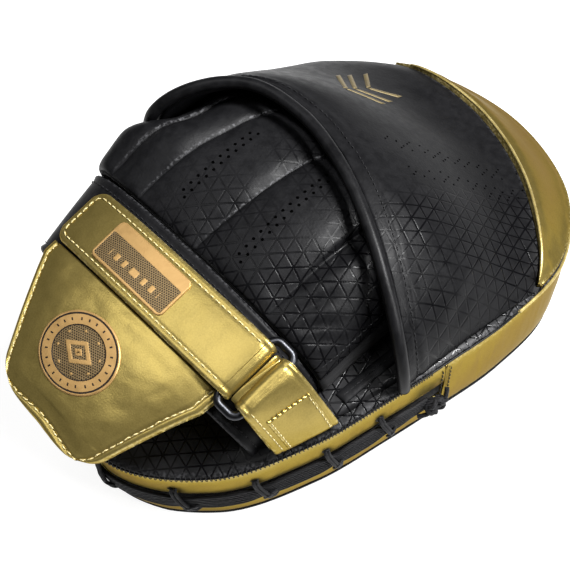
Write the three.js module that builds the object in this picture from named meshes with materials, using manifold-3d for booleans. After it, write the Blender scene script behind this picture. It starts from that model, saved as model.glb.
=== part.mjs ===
// Curved focus mitt (boxing pad) for the left hand, lying on its strike face.
// Millimetres, +Z up, +X to the fingertips, -Y the thumb side with the buckle ring.
import * as THREE from 'three';
import { mergeVertices } from 'three/addons/utils/BufferGeometryUtils.js';
import Module from 'manifold-3d';

const wasm = await Module();
wasm.setup();

// ---------------------------------------------------------------- driving dimensions
const padThickness = 48;        // strike face to back panel
const backRadius = 316;         // bend of the back panel along the mitt
const wallTilt = 0.23;          // how far the edge wall follows the bend: 1 is square to it
const restFlat = 5.0;           // how far the two ends of the strike face bed down
const gap = 0.35;               // clearance between sewn or bonded pieces
const layerGap = 0.9;           // clearance between the bonded layers of the pad
const skin = 2.5;               // leather with its backing
const cavityRoom = 6;           // padding between the finger cover and its lining

// outline radius every 22.5 degrees, fingertip end round to the heel, near and far side
const nearOutline = [141, 132.5, 115, 94.5, 84, 85, 98, 121, 140];
const farOutline = [141, 132.5, 115, 98, 93, 97, 110, 127, 140];

const strikeLayer = 2.6;        // leather strike face
const gelLayer = 6;
const coreLayer = 24;
const tipStart = 91;            // gusset: angle from the fingertip end where the lacing stops
const laceBand = [15, 27];      // height of the open lacing channel in the edge wall
const laceDiameter = 2.3;
const laceCount = 4;
const tieCount = 9;

const archCentre = 8;           // hand arch, across the mitt
const archHalf = 80;
const nearPower = 2.3;          // the thumb side of the arch is round, the far side boxy
const farPower = 4.5;
const wristFarPower = 2.5;      // the wrist's arch is round on both sides
const archFarHalf = 88;         // and reaches further on the far side
const wristHeight = 38;         // crown of the wrist band over the back panel
const strapU = [-84.5, -57.5];  // strap edges along the mitt
const bandU = [-93, -51.5];
const strapThickness = 2.2;
const strapEnd = 75;            // far end of the strap, across the mitt
const ringWire = 4;
const ringSize = [37, 17];      // outside, along the mitt and across it
const ringFarBar = -36.5;       // across the mitt, where the strap loops round the ring
const cuffFoldU = -95.5;
const cuffEndU = [-143, -139.5];  // near and far corner of the cuff
const cuffFoldV = [-36, 72];
const cuffEndV = [-13, 47];
const badgeRadius = 21;

const hoodHeight = 51;          // crown of the hood's free edge
const hoodSeamHeight = 13;
const hoodShell = 4;
const pipingDiameter = 6;
const fingerChannels = [-53, -22, 21, 57, 76]; // sewn channels across the finger cover

// ---------------------------------------------------------------- materials
const material = (color, roughness = 0.6, metalness = 0) =>
  new THREE.MeshStandardMaterial({ color, roughness, metalness });
const gold = material(0xb09a4a, 0.45, 0.3);
const black = material(0x2b2b2d, 0.6);
const blackGrain = material(0x333336, 0.55);
const liner = material(0x1c1c1e, 0.85);
const foamGrey = material(0x7a7a78, 0.9);
const gelBlue = material(0x5f7f92, 0.5);
const cord = material(0x151516, 0.8);
const steel = material(0x3a3a3e, 0.35, 0.9);
const copper = material(0xc09060, 0.4, 0.6);

const mitt = new THREE.Group();
mitt.name = 'focus_mitt';

// ---------------------------------------------------------------- outline and bend
const closedOutline = (() => {
  const points = [];
  const at = (radius, degrees) => {
    const angle = THREE.MathUtils.degToRad(degrees);
    points.push(new THREE.Vector3(radius * Math.cos(angle), radius * Math.sin(angle), 0));
  };
  farOutline.forEach((radius, i) => at(radius, 22.5 * i));
  nearOutline.slice(1, -1).reverse().forEach((radius, i) => at(radius, 202.5 + 22.5 * i));
  return new THREE.CatmullRomCurve3(points, true, 'centripetal');
})();
const edgePoint = (angle) => {
  const turn = angle / (2 * Math.PI);
  return closedOutline.getPoint(turn - Math.floor(turn));
};
const outlineSamples = Array.from({ length: 721 }, (_, i) => edgePoint((i / 720) * 2 * Math.PI));
// half width of the pad at a station along it, on one side
const edgeV = (u, side) => {
  let best = 0;
  for (let i = 0; i < 720; i += 1) {
    const [p, q] = [outlineSamples[i], outlineSamples[i + 1]];
    if ((p.x - u) * (q.x - u) > 0 || side * (p.y + q.y) < 0) continue;
    const mix = Math.abs(q.x - p.x) < 1e-9 ? 0 : (u - p.x) / (q.x - p.x);
    best = Math.max(best, side * THREE.MathUtils.lerp(p.y, q.y, mix));
  }
  return best;
};

const endAngle = nearOutline[0] / backRadius;
const floorLevel = backRadius * Math.cos(endAngle) - padThickness * Math.cos(wallTilt * endAngle);
// flat pattern (along, across, up from the strike face) to the curved mitt
const bend = (u, v, w) => {
  const angle = u / backRadius;
  const depth = Math.min(w - padThickness, 0);
  const radius = backRadius + Math.max(w - padThickness, 0);
  const z = radius * Math.cos(angle) + depth * Math.cos(wallTilt * angle) - floorLevel;
  const strikeZ = backRadius * Math.cos(angle) - padThickness * Math.cos(wallTilt * angle) - floorLevel;
  const lift = Math.max(restFlat - strikeZ, 0) * THREE.MathUtils.clamp(1 - w / padThickness, 0, 1);
  return new THREE.Vector3(
    radius * Math.sin(angle) + depth * Math.sin(wallTilt * angle), v, z + lift - restFlat);
};
// over the back panel: height h above it
const over = (u, v, h) => bend(u, v, padThickness + h);

// ---------------------------------------------------------------- solids
const signedVolume = (geometry) => {
  const p = geometry.attributes.position;
  const index = geometry.index.array;
  const [a, b, c] = [new THREE.Vector3(), new THREE.Vector3(), new THREE.Vector3()];
  let sum = 0;
  for (let i = 0; i < index.length; i += 3) {
    a.fromBufferAttribute(p, index[i]);
    b.fromBufferAttribute(p, index[i + 1]);
    c.fromBufferAttribute(p, index[i + 2]);
    sum += a.dot(b.cross(c));
  }
  return sum / 6;
};
const welded = (geometry) => {
  geometry.deleteAttribute('normal');
  geometry.deleteAttribute('uv');
  const merged = mergeVertices(geometry, 1e-4);
  if (signedVolume(merged) < 0) {
    const index = merged.index.array;
    for (let i = 0; i < index.length; i += 3) [index[i], index[i + 1]] = [index[i + 1], index[i]];
  }
  return merged;
};
const solidOf = (geometry) => {
  const clean = welded(geometry);
  return new wasm.Manifold(new wasm.Mesh({
    numProp: 3,
    vertProperties: new Float32Array(clean.attributes.position.array),
    triVerts: new Uint32Array(clean.index.array),
  }));
};
const geometryOf = (solid) => {
  const mesh = solid.getMesh();
  const geometry = new THREE.BufferGeometry();
  geometry.setAttribute('position', new THREE.BufferAttribute(mesh.vertProperties, 3));
  geometry.setIndex(new THREE.BufferAttribute(mesh.triVerts, 1));
  return geometry;
};
const piece = (name, geometry, finish) => {
  const clean = welded(geometry);
  clean.computeVertexNormals();
  const mesh = new THREE.Mesh(clean, finish);
  mesh.name = name;
  mitt.add(mesh);
  return mesh;
};
const deform = (geometry, map) => {
  const p = geometry.attributes.position;
  for (let i = 0; i < p.count; i += 1) {
    const q = map(p.getX(i), p.getY(i), p.getZ(i));
    p.setXYZ(i, q.x, q.y, q.z);
  }
  return geometry;
};
// block whose three directions run from 0 to 1 and are mapped to the mitt
const slab = ([along, across, up], map) =>
  deform(new THREE.BoxGeometry(1, 1, 1, along, across, up), (x, y, z) => map(x + 0.5, y + 0.5, z + 0.5));
// layer with the mitt's outline: profile rows are [share of the outline, inset, height]
const layerSteps = 48;
const layer = (profile) => {
  const points = profile.map(([share], i) => new THREE.Vector2(share, i));
  return deform(new THREE.LatheGeometry(points, layerSteps), (x, y, z) => {
    const angle = Math.atan2(z, x);
    const [share, inset, height] = profile[Math.round(y)];
    const edge = edgePoint(angle);
    const scale = share * (1 - inset / edge.length());
    return bend(edge.x * scale, edge.y * scale, height);
  });
};
// every plate has its corners at the same shares, so stacked plates nest
const plateShares = [0.25, 0.5, 0.62, 0.8, 0.955];
const plate = (low, high, inset, rim = 0) => {
  const corner = rim ? [[1, inset + rim, low], [1, inset, low + rim]] : [[1, inset, low]];
  return layer([
    [0, 0, low], ...plateShares.map((share) => [share, 0, low]), ...corner,
    [1, inset, high], ...plateShares.toReversed().map((share) => [share, 0, high]), [0, 0, high],
  ]);
};
// band of the edge wall between two angles
const wall = (from, to, low, high, inset, thick, steps) => slab([steps, 1, 1], (a, b, c) => {
  const angle = THREE.MathUtils.degToRad(THREE.MathUtils.lerp(from, to, a));
  const edge = edgePoint(angle);
  const scale = (edge.length() - inset - thick * (1 - b)) / edge.length();
  return bend(edge.x * scale, edge.y * scale, THREE.MathUtils.lerp(low, high, c));
});
const tube = (points, diameter, steps, sides = 8, closed = false) => {
  const shape = new THREE.Shape(Array.from({ length: sides }, (_, i) => {
    const angle = (i / sides) * 2 * Math.PI;
    return new THREE.Vector2(Math.cos(angle) * diameter / 2, Math.sin(angle) * diameter / 2);
  }));
  const path = new THREE.CatmullRomCurve3(points, closed, 'centripetal');
  return new THREE.ExtrudeGeometry(shape, { steps, bevelEnabled: false, extrudePath: path });
};

// ---------------------------------------------------------------- pad: strike face to back panel
const gelBase = strikeLayer + layerGap;
const coreBase = gelBase + gelLayer + layerGap;
const backingBase = coreBase + coreLayer + layerGap;
const backBase = padThickness - 3;
const inside = skin + gap;
piece('strike_cover', plate(0, strikeLayer, 0, 1.2), blackGrain);
piece('gel_layer', layer([
  [0, 0, gelBase], ...plateShares.map((share) => [share, 0, gelBase]),
  ...plateShares.toReversed().map((share) => [share, 0, gelBase + gelLayer]), [0, 0, gelBase + gelLayer],
]), gelBlue);
piece('foam_core', plate(coreBase, coreBase + coreLayer, inside), foamGrey);
piece('backing_foam', plate(backingBase, backBase - layerGap, inside), foamGrey);
piece('back_panel', plate(backBase, padThickness, 0), black);

// target ring printed and raised on the hollow strike face
{
  const [inner, outer] = [0.5, 0.62];
  const [low, high] = [-0.9 - gap, -gap];
  const ring = [[inner, 0, low], [outer, 0, low], [outer, 0, high], [inner, 0, high], [inner, 0, low]];
  piece('target_ring', layer(ring), gold);
  piece('target_spot', layer([[0, 0, low], [0.25, 0, low], [0.25, 0, high], [0, 0, high]]), gold);
}

// ---------------------------------------------------------------- edge wall and lacing
const wallLow = strikeLayer + layerGap + gap;
const wallHigh = backBase - gap;
piece('gusset_tip', wall(-tipStart + 0.3, tipStart - 0.3, wallLow, wallHigh, 0, skin, 48), gold);
piece('gusset_upper', wall(tipStart, 360 - tipStart, laceBand[1], wallHigh, 0, skin, 44), gold);
piece('gusset_lower', wall(tipStart, 360 - tipStart, wallLow, laceBand[0], 0, skin, 44), gold);
piece('lace_channel', wall(tipStart, 360 - tipStart, laceBand[0] + gap, laceBand[1] - gap,
  1.2, skin - 1.2, 44), liner);
const edgePath = (from, to, count, out, w) => Array.from({ length: count }, (_, i) => {
  const angle = THREE.MathUtils.degToRad(THREE.MathUtils.lerp(from, to, i / (count - 1)));
  const edge = edgePoint(angle);
  const scale = (edge.length() + out) / edge.length();
  return bend(edge.x * scale, edge.y * scale, w);
});
const laceFrom = 103;
const laceMiddle = (laceBand[0] + laceBand[1]) / 2;
for (let i = 0; i < laceCount; i += 1) {
  const w = laceMiddle + (i - (laceCount - 1) / 2) * (laceDiameter + 0.35);
  const path = edgePath(laceFrom, 360 - laceFrom, 30, laceDiameter / 2 + 0.8, w);
  piece(`lace_cord_${i + 1}`, tube(path, laceDiameter, 30, 6), cord);
}
// cross ties: out of the upper band, over the cords and in below them
const tie = (name, degrees) => {
  const point = (out, w, slant) => {
    const angle = THREE.MathUtils.degToRad(degrees + slant);
    const edge = edgePoint(angle);
    const scale = (edge.length() + out) / edge.length();
    return bend(edge.x * scale, edge.y * scale, w);
  };
  const top = laceBand[1] + 6.5;
  const low = laceBand[0] - 2.5;
  const proud = laceDiameter + 2.4;
  piece(name, tube([
    point(1.6, top, -2.4), point(3, top - 2.4, -2), point(proud, laceBand[1] - 1, -1),
    point(proud, laceMiddle, 0), point(proud, laceBand[0] + 1.5, 0.9), point(1.7, low, 1.7),
  ], 2, 8, 5), cord);
};
for (let i = 0; i < tieCount; i += 1) {
  tie(`lace_tie_${i + 1}`, 360 - laceFrom - 10 - i * ((360 - 2 * laceFrom - 20) / (tieCount - 1)));
}
// knot at the thumb-side end of the lacing
{
  const angle = THREE.MathUtils.degToRad(360 - laceFrom + 7);
  const edge = edgePoint(angle);
  const place = (out, along, w) => {
    const side = new THREE.Vector2(-edge.y, edge.x).normalize();
    const scale = (edge.length() + out) / edge.length();
    return bend(edge.x * scale + side.x * along, edge.y * scale + side.y * along, w);
  };
  const knot = new THREE.SphereGeometry(1, 12, 8);
  piece('lace_knot', deform(knot, (x, y, z) => place(5.2 + 4.4 * z, 7.5 * x, laceMiddle + 6 * y)), cord);
}
// welt along the back panel's rim
{
  const rim = Array.from({ length: 7 }, (_, i) => {
    const angle = (i / 6) * 2 * Math.PI;
    return [1, -(0.85 + gap) + 0.85 * Math.cos(angle), backBase + 1.2 + 0.85 * Math.sin(angle)];
  });
  piece('edge_welt', layer(rim), black);
}

// ---------------------------------------------------------------- hand arch
// point on a rounded arch: run goes 0 to 1 from the thumb-side foot to the far foot,
// and tuck draws the far foot in under the bulge of the wall
const archPoint = (u, run, { near, far, height, power = nearPower, wide = farPower, tuck = 0, off = 0 }) => {
  const angle = Math.PI * (1 - run);
  const side = Math.cos(angle);
  const shape = (value) => Math.sign(value) * Math.abs(value) ** (2 / (side < 0 ? power : wide));
  const half = (far - near) / 2;
  const h = (height + off) * shape(Math.abs(Math.sin(angle)));
  const v = (near + far) / 2 + (half + off) * shape(side);
  const low = side > 0 ? Math.max(1 - h / (0.7 * height), 0) ** 2 : 0;
  return [u, v - tuck * low, h];
};
// arch used by the wrist pieces: height above the back panel at a place across the mitt
const wristArch = (v, off = 0, height = wristHeight) => {
  const share = Math.min(Math.abs(v - archCentre) / ((v < archCentre ? archHalf : archFarHalf) + off), 1);
  const power = v < archCentre ? nearPower : wristFarPower;
  return (height + off) * (1 - share ** power) ** (1 / power);
};
const runFor = (v, { near, far, power = nearPower, wide = farPower }) => {
  const share = THREE.MathUtils.clamp((v - (near + far) / 2) / ((far - near) / 2), -1, 1);
  const angle = Math.acos(Math.sign(share) * Math.abs(share) ** ((share < 0 ? power : wide) / 2));
  return 1 - angle / Math.PI;
};
const archBlock = (steps, span, section, inner, outer) => slab(steps, (a, b, c) => {
  const u = THREE.MathUtils.lerp(span[0], span[1], a);
  const s = section(u);
  const from = s.from === undefined ? 0 : runFor(s.from, s);
  const to = s.to === undefined ? 1 : runFor(s.to, s);
  const off = THREE.MathUtils.lerp(inner, outer, c);
  const [x, v, h] = archPoint(u, THREE.MathUtils.lerp(from, to, b), { ...s, off });
  return over(x, v, h + gap);
});

// black wrist band, foot to foot
const bandSection = (u) => ({
  near: -53.5, far: THREE.MathUtils.mapLinear(u, bandU[0], bandU[1], 90, 97),
  height: wristHeight - 1, wide: wristFarPower,
  tuck: Math.max(98 - edgeV(u, 1), 0),
});
piece('wrist_band', archBlock([3, 22, 1], bandU, bandSection, -skin, 0), black);
piece('loop_patch', slab([3, 14, 1], (a, b, c) => {
  const u = THREE.MathUtils.lerp(strapU[0] + 2, strapU[1] - 2, a);
  const v = THREE.MathUtils.lerp(4, strapEnd - 3, b);
  return over(u, v, wristArch(v, 0.5 + c * 0.9) + gap);
}), liner);

// finger cover: lining shell and the padded fingers sewn on it
const coverHeight = (u) => {
  const rise = THREE.MathUtils.smoothstep(u, -60, -10);
  const fall = THREE.MathUtils.smoothstep(u, 0, 84);
  return THREE.MathUtils.lerp(wristHeight - 5, 37.5, rise) - 30 * fall;
};
const coverSection = (u) => ({
  near: fingerChannels[0] - 3 + 16 * THREE.MathUtils.smoothstep(u, 10, 84),
  far: 92 - 14 * THREE.MathUtils.smoothstep(u, -42, -20) - 26 * THREE.MathUtils.smoothstep(u, -5, 84),
  height: coverHeight(u), power: 2.5,
  tuck: Math.max(96 - edgeV(u, 1), 0) * (1 - THREE.MathUtils.smoothstep(u, -42, -18)),
});
const coverU = [-50.5, 76];
piece('finger_cover', archBlock([10, 18, 1], coverU, coverSection, -2.2, 0), liner);
for (let i = 0; i < fingerChannels.length; i += 1) {
  const last = i === fingerChannels.length - 1;
  const section = (u) => {
    const s = coverSection(u);
    const squeeze = (s.far - s.near) / 139;
    const middle = (s.far + s.near) / 2;
    const place = (v) => middle + (v - 15) * squeeze;
    const to = last ? s.far - 0.6 : place(fingerChannels[i + 1]) - 0.6;
    return { ...s, from: place(fingerChannels[i]) + 0.6, to };
  };
  const crowned = slab([9, 4, 1], (a, b, c) => {
    const u = THREE.MathUtils.lerp(coverU[0] + 0.5, coverU[1] - 6, a);
    const s = section(u);
    const run = THREE.MathUtils.lerp(runFor(s.from, s), runFor(s.to, s), b);
    const belly = (1 - Math.abs(2 * b - 1) ** 2.4) * (1 - 0.55 * Math.abs(2 * a - 1) ** 4);
    const crown = 1.2 + (cavityRoom - 1.2) * belly;
    const [x, v, h] = archPoint(u, run, { ...s, off: 2 * gap + c * crown });
    return over(x, v, h + gap);
  });
  piece(`finger_pad_${i + 1}`, crowned, blackGrain);
}
piece('side_binding', slab([8, 1, 1], (a, b, c) => {
  const u = THREE.MathUtils.lerp(-48, 8, a);
  return over(u, THREE.MathUtils.lerp(-67, -60.5, b) - 3 * a, gap + 2 * c);
}), black);
piece('pocket_lining', slab([8, 3, 1], (a, b, c) =>
  over(THREE.MathUtils.lerp(-48, 62, a), THREE.MathUtils.lerp(-44, 66, b) * (1 - 0.25 * a * a),
    gap + 1.2 * c)), liner);
{
  const dome = [];
  for (let i = 0; i <= 5; i += 1) {
    const angle = (i / 5) * (Math.PI / 2);
    dome.push(new THREE.Vector2(Math.sin(angle), Math.cos(angle)));
  }
  dome.push(new THREE.Vector2(0, 0));
  piece('palm_grip', deform(new THREE.LatheGeometry(dome, 18), (x, y, z) =>
    over(4 + 24 * x, 10 + 34 * z, 1.2 + 2 * gap + 11 * y)), blackGrain);
}

// ---------------------------------------------------------------- hood over the fingertips
const hoodEdgeU = (v) => (v < 30
  ? 20 - 41 * Math.max((30 - v) / 109, 0) ** 1.5
  : 20 - 38 * ((v - 30) / 60) ** 3);
const seamFrom = -57;
const seamTo = 29;
const seamPoint = (t) => {
  const degrees = THREE.MathUtils.lerp(seamFrom, seamTo, t);
  const edge = edgePoint(THREE.MathUtils.degToRad(degrees + 360));
  const fromMiddle = Math.abs((degrees - (seamFrom + seamTo) / 2) / ((seamTo - seamFrom) / 2));
  const share = 0.77 + 0.225 * fromMiddle ** 2.3;
  return [edge.x * share, edge.y * share];
};
const hoodCrown = (t) => THREE.MathUtils.lerp(hoodHeight, hoodSeamHeight, t ** 1.25 * (1.35 - 0.35 * t));
// the far foot keeps to the pad's edge instead of cutting straight to the seam
const farBow = (t) => {
  const [seamU, seamV] = seamPoint(1);
  const station = THREE.MathUtils.lerp(hoodEdgeU(90), seamU, t);
  return Math.max(edgeV(station, 1) - 1.5 - THREE.MathUtils.lerp(90, seamV, t), 0);
};
// run across: 0 thumb side foot, 1 far foot; t from the free edge to the fingertip seam
const hoodPoint = (t, run, off) => {
  const section = { near: -80.5, far: 90, height: hoodHeight, power: 2.5, wide: 5, off };
  const [, v, h] = archPoint(0, run, section);
  const level = Math.max(1 - Math.abs(2 * run - 1) ** 6, 0);
  const [seamU, seamV] = seamPoint(run);
  const edge = [hoodEdgeU(v - Math.sign(v) * off), v];
  const u = THREE.MathUtils.lerp(edge[0], seamU, t);
  const along = THREE.MathUtils.lerp(edge[1], seamV * (1 + off / 90), t)
    + farBow(t) * Math.max(2 * run - 1, 0) ** 1.3;
  // level as far as the free edge's crown, then falling to the seam
  const fall = THREE.MathUtils.clamp((u - 16) / 93, 0, 1);
  const crown = hoodCrown(fall + (1 - fall) * t ** 4) / hoodHeight;
  const settle = THREE.MathUtils.lerp(h * crown, Math.min(h, hoodSeamHeight + off) * level, t * t);
  return [u, along, settle];
};
piece('hood_shell', slab([11, 26, 1], (a, b, c) => {
  const [u, v, h] = hoodPoint(a * 0.985, b, THREE.MathUtils.lerp(-hoodShell, 0, c));
  return over(u, v, h + gap);
}), black);
{
  const points = Array.from({ length: 41 }, (_, i) => {
    const [u, v, h] = hoodPoint(0, i / 40, 0);
    return over(u - pipingDiameter / 2 - 0.5, v, h + gap + 1.2);
  });
  piece('hood_piping', tube(points, pipingDiameter, 40, 7), black);
}
piece('tip_panel', slab([4, 26, 1], (a, b, c) => {
  const run = THREE.MathUtils.lerp(0.02, 0.98, b);
  const [seamU, seamV] = seamPoint(run);
  const level = Math.max(1 - Math.abs(2 * run - 1) ** 6, 0);
  const degrees = THREE.MathUtils.lerp(seamFrom, seamTo, run);
  const edge = edgePoint(THREE.MathUtils.degToRad(degrees + 360));
  const across = THREE.MathUtils.lerp(0.02, 1, a);
  const top = THREE.MathUtils.lerp(hoodSeamHeight * level + 1, 2.6, Math.sin((across * Math.PI) / 2) ** 1.6);
  const u = THREE.MathUtils.lerp(seamU, edge.x * 0.995, across);
  const v = THREE.MathUtils.lerp(seamV, edge.y * 0.995, across);
  return over(u, v, gap + c * top);
}), gold);
{
  const points = Array.from({ length: 31 }, (_, i) => {
    const run = THREE.MathUtils.lerp(0.04, 0.96, i / 30);
    const [u, v] = seamPoint(run);
    const level = Math.max(1 - Math.abs(2 * run - 1) ** 6, 0);
    return over(u + 0.4, v, hoodSeamHeight * level + 2.8);
  });
  piece('tip_seam_cord', tube(points, 2.2, 30, 5), gold);
}

// ---------------------------------------------------------------- wrist strap, ring and tab
// strip that follows a path across the mitt, with a half turn round a bar
const stripAlong = (path, width, thick, steps) => {
  const points = path.map(([v, h]) => new THREE.Vector3(v, h, 0));
  const curve = new THREE.CatmullRomCurve3(points, false, 'centripetal');
  return slab([1, steps, 1], (a, b, c) => {
    const p = curve.getPoint(b);
    const d = curve.getTangent(b);
    const off = (c - 0.5) * thick;
    const u = typeof width === 'function' ? width(a, b) : THREE.MathUtils.lerp(width[0], width[1], a);
    return over(u, p.x - d.y * off, p.y + d.x * off);
  });
};
const barCentre = (v, off) => [v, wristArch(v, off)];
const barOff = 0.6 + strapThickness + 2 * gap + ringWire / 2;
const farBar = barCentre(ringFarBar, barOff);
const slope = (wristArch(ringFarBar + 1, barOff) - wristArch(ringFarBar - 1, barOff)) / 2;
const lean = Math.atan(slope);
const barSpacing = ringSize[1] - ringWire;
const nearBar = [farBar[0] - barSpacing * Math.cos(lean), farBar[1] - barSpacing * Math.sin(lean)];
const around = ([v, h], radius, fromDegrees, toDegrees, count) => Array.from({ length: count }, (_, i) => {
  const angle = THREE.MathUtils.degToRad(THREE.MathUtils.lerp(fromDegrees, toDegrees, i / (count - 1)));
  return [v + radius * Math.cos(angle), h + radius * Math.sin(angle)];
});
const leanDegrees = THREE.MathUtils.radToDeg(lean);
const loopRadius = ringWire / 2 + 2 * gap + strapThickness / 2;
const lowerRun = [-4, -14, -24].map((v) => [v, wristArch(v, 0.6 + strapThickness / 2) + 0.2]);
const upperRun = [-26, -18, -8, 4, 18, 32, 48, 62, strapEnd].map((v, i) => {
  const off = [7.4, 6.2, 5.2, 4.6, 4.4, 4.4, 4.4, 4.4, 4.4][i];
  return [v, wristArch(v, off) + gap];
});
const strapTurn = around(farBar, loopRadius, leanDegrees - 80, leanDegrees - 280, 7);
const strapPath = [...lowerRun, ...strapTurn, ...upperRun];
const strapWidth = (a, b) => {
  const middle = (strapU[0] + strapU[1]) / 2;
  const half = (strapU[1] - strapU[0]) / 2;
  const round = b > 0.93 ? Math.sqrt(Math.max(1 - ((b - 0.93) / 0.07) ** 2 * 0.75, 0)) : 1;
  return middle + (2 * a - 1) * half * round;
};
piece('wrist_strap', stripAlong(strapPath, strapWidth, strapThickness, 64), gold);
piece('hook_patch', slab([3, 14, 1], (a, b, c) => {
  const u = THREE.MathUtils.lerp(strapU[0] + 3, strapU[1] - 3, a);
  const v = THREE.MathUtils.lerp(10, strapEnd - 6, b);
  return over(u, v, wristArch(v, 1.85 + c * 1.0) + gap);
}), liner);
piece('strap_label', slab([4, 14, 1], (a, b, c) => {
  const middle = (strapU[0] + strapU[1]) / 2;
  const corner = 1 - 0.12 * Math.abs(2 * b - 1) ** 8;
  const u = middle + (2 * a - 1) * 9.5 * corner;
  const v = THREE.MathUtils.lerp(6, 54, b);
  return over(u, v, wristArch(v, 5.9 + c * 0.9) + gap);
}), copper);

const ringMiddle = (strapU[0] + strapU[1]) / 2;
{
  const halfLong = (ringSize[0] - ringWire) / 2;
  const middle = [(farBar[0] + nearBar[0]) / 2, (farBar[1] + nearBar[1]) / 2];
  const reach = 100;
  const wire = Array.from({ length: 9 }, (_, i) => {
    const angle = (i % 8) / 8 * 2 * Math.PI;
    return new THREE.Vector2(reach + ringWire / 2 * Math.cos(angle), ringWire / 2 * Math.sin(angle));
  });
  // rounded rectangle in the flat pattern, with a quarter of the 32 steps round each corner
  const cornerRadius = 4;
  const onRing = (step, out) => {
    const quarter = Math.floor(step / 8);
    const angle = (quarter + (step % 8) / 7) * (Math.PI / 2);
    const [sideU, sideV] = [[1, 1], [-1, 1], [-1, -1], [1, -1]][quarter];
    return [
      sideU * (halfLong - cornerRadius) + (cornerRadius + out) * Math.cos(angle),
      sideV * (barSpacing / 2 - cornerRadius) + (cornerRadius + out) * Math.sin(angle)];
  };
  piece('ring', deform(new THREE.LatheGeometry(wire, 32), (x, y, z) => {
    const turn = Math.atan2(z, x) / (2 * Math.PI) + 1;
    const [du, dv] = onRing(Math.round(turn * 32) % 32, Math.hypot(x, z) - reach);
    return over(ringMiddle + du, middle[0] + dv * Math.cos(lean) - y * Math.sin(lean),
      middle[1] + dv * Math.sin(lean) + y * Math.cos(lean));
  }), steel);
}
// tab: up from the edge seam, round the near bar and down again
{
  const radius = ringWire / 2 + gap + 1.4;
  const footV = (u) => -edgeV(u, -1) + 1.5;
  const tabPath = (u) => {
    const foot = footV(u);
    const outer = [[foot, 4.6], [THREE.MathUtils.lerp(foot, nearBar[0], 0.3) - 1.6, nearBar[1] * 0.5]];
    const inner = [[THREE.MathUtils.lerp(foot, nearBar[0], 0.55) + 1.5, nearBar[1] * 0.5], [foot + 3.7, 1.6]];
    return [...outer, ...around(nearBar, radius, leanDegrees + 120, leanDegrees - 120, 7), ...inner];
  };
  const tabU = (a, b) => ringMiddle + (2 * a - 1) * (13 + 1.5 * Math.abs(2 * b - 1) ** 2);
  piece('ring_tab', slab([2, 30, 1], (a, b, c) => {
    const u = tabU(a, b);
    const points = tabPath(u).map(([v, h]) => new THREE.Vector3(v, h, 0));
    const curve = new THREE.CatmullRomCurve3(points, false, 'centripetal');
    const [p, d] = [curve.getPoint(b), curve.getTangent(b)];
    const off = (c - 0.5) * 2;
    return over(u, p.x - d.y * off, p.y + d.x * off);
  }), gold);
  // stitched patch with a zigzag edge, on the outer leg
  piece('tab_patch', slab([6, 4, 1], (a, b, c) => {
    const zigzag = b < 0.01 ? 2 * Math.abs(((6 * a) % 2) - 1) : 0;
    const u = ringMiddle + (2 * a - 1) * 9.5;
    const [low, high] = tabPath(u);
    const share = THREE.MathUtils.lerp(0.12, 0.9, b) - 0.04 * zigzag;
    const v = THREE.MathUtils.lerp(low[0], high[0], share);
    const h = THREE.MathUtils.lerp(low[1], high[1], share);
    return over(u, v - 1.9 - c * 0.9, h + 0.6 + c * 0.5);
  }), gold);
}

// ---------------------------------------------------------------- cuff
const cuffPoint = (t, run, off) => {
  const bulge = (2 * run - 1) ** 2;
  const near = THREE.MathUtils.lerp(cuffFoldV[0], cuffEndV[0], t ** 0.9);
  const far = THREE.MathUtils.lerp(cuffFoldV[1], cuffEndV[1], t);
  const v = THREE.MathUtils.lerp(near, far, run);
  const end = THREE.MathUtils.lerp(cuffEndU[0], cuffEndU[1], run) + 3 * bulge ** 3;
  const u = THREE.MathUtils.lerp(cuffFoldU, end, t);
  return over(u, v, wristArch(v, off, wristHeight - 2 * t) + gap);
};
piece('cuff_base', slab([1, 16, 1], (a, b, c) => {
  const u = THREE.MathUtils.lerp(cuffFoldU + gap, strapU[0] - 1, a);
  const v = THREE.MathUtils.lerp(-30, cuffFoldV[1] - 0.5, b);
  return over(u, v, wristArch(v, 0.5 + c * skin) + gap);
}), gold);
piece('cuff_flap', slab([8, 16, 1], (a, b, c) => cuffPoint(a, b, 0.5 + c * (skin + 0.8))), gold);
{
  const centreU = -110.5;
  const centreV = 22;
  const rim = [[0, 0], [0.5, 0], [1, 0], [1, 1], [0.5, 1], [0, 1]].map(([r, z]) => new THREE.Vector2(r, z));
  piece('cuff_badge', deform(new THREE.LatheGeometry(rim, 32), (x, y, z) => {
    const v = centreV + badgeRadius * z;
    const u = centreU + badgeRadius * x * 0.75;
    const t = (cuffFoldU - u) / (cuffFoldU - cuffEndU[0]);
    return over(u, v, wristArch(v, 0.5 + skin + 0.8 + gap + 0.1 + y, wristHeight - 2 * t * 0.9) + gap);
  }), copper);
}

// origin at the centre of the mitt's base
const bounds = new THREE.Box3().setFromObject(mitt);
const centre = bounds.getCenter(new THREE.Vector3());
mitt.position.set(-centre.x, -centre.y, -bounds.min.z);

export default mitt;
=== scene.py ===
"""Looks of a curved focus mitt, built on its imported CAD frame. Sizes are millimetres until put()."""
import math

import bpy
import numpy as np
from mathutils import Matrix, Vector
from mathutils.bvhtree import BVHTree


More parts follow.
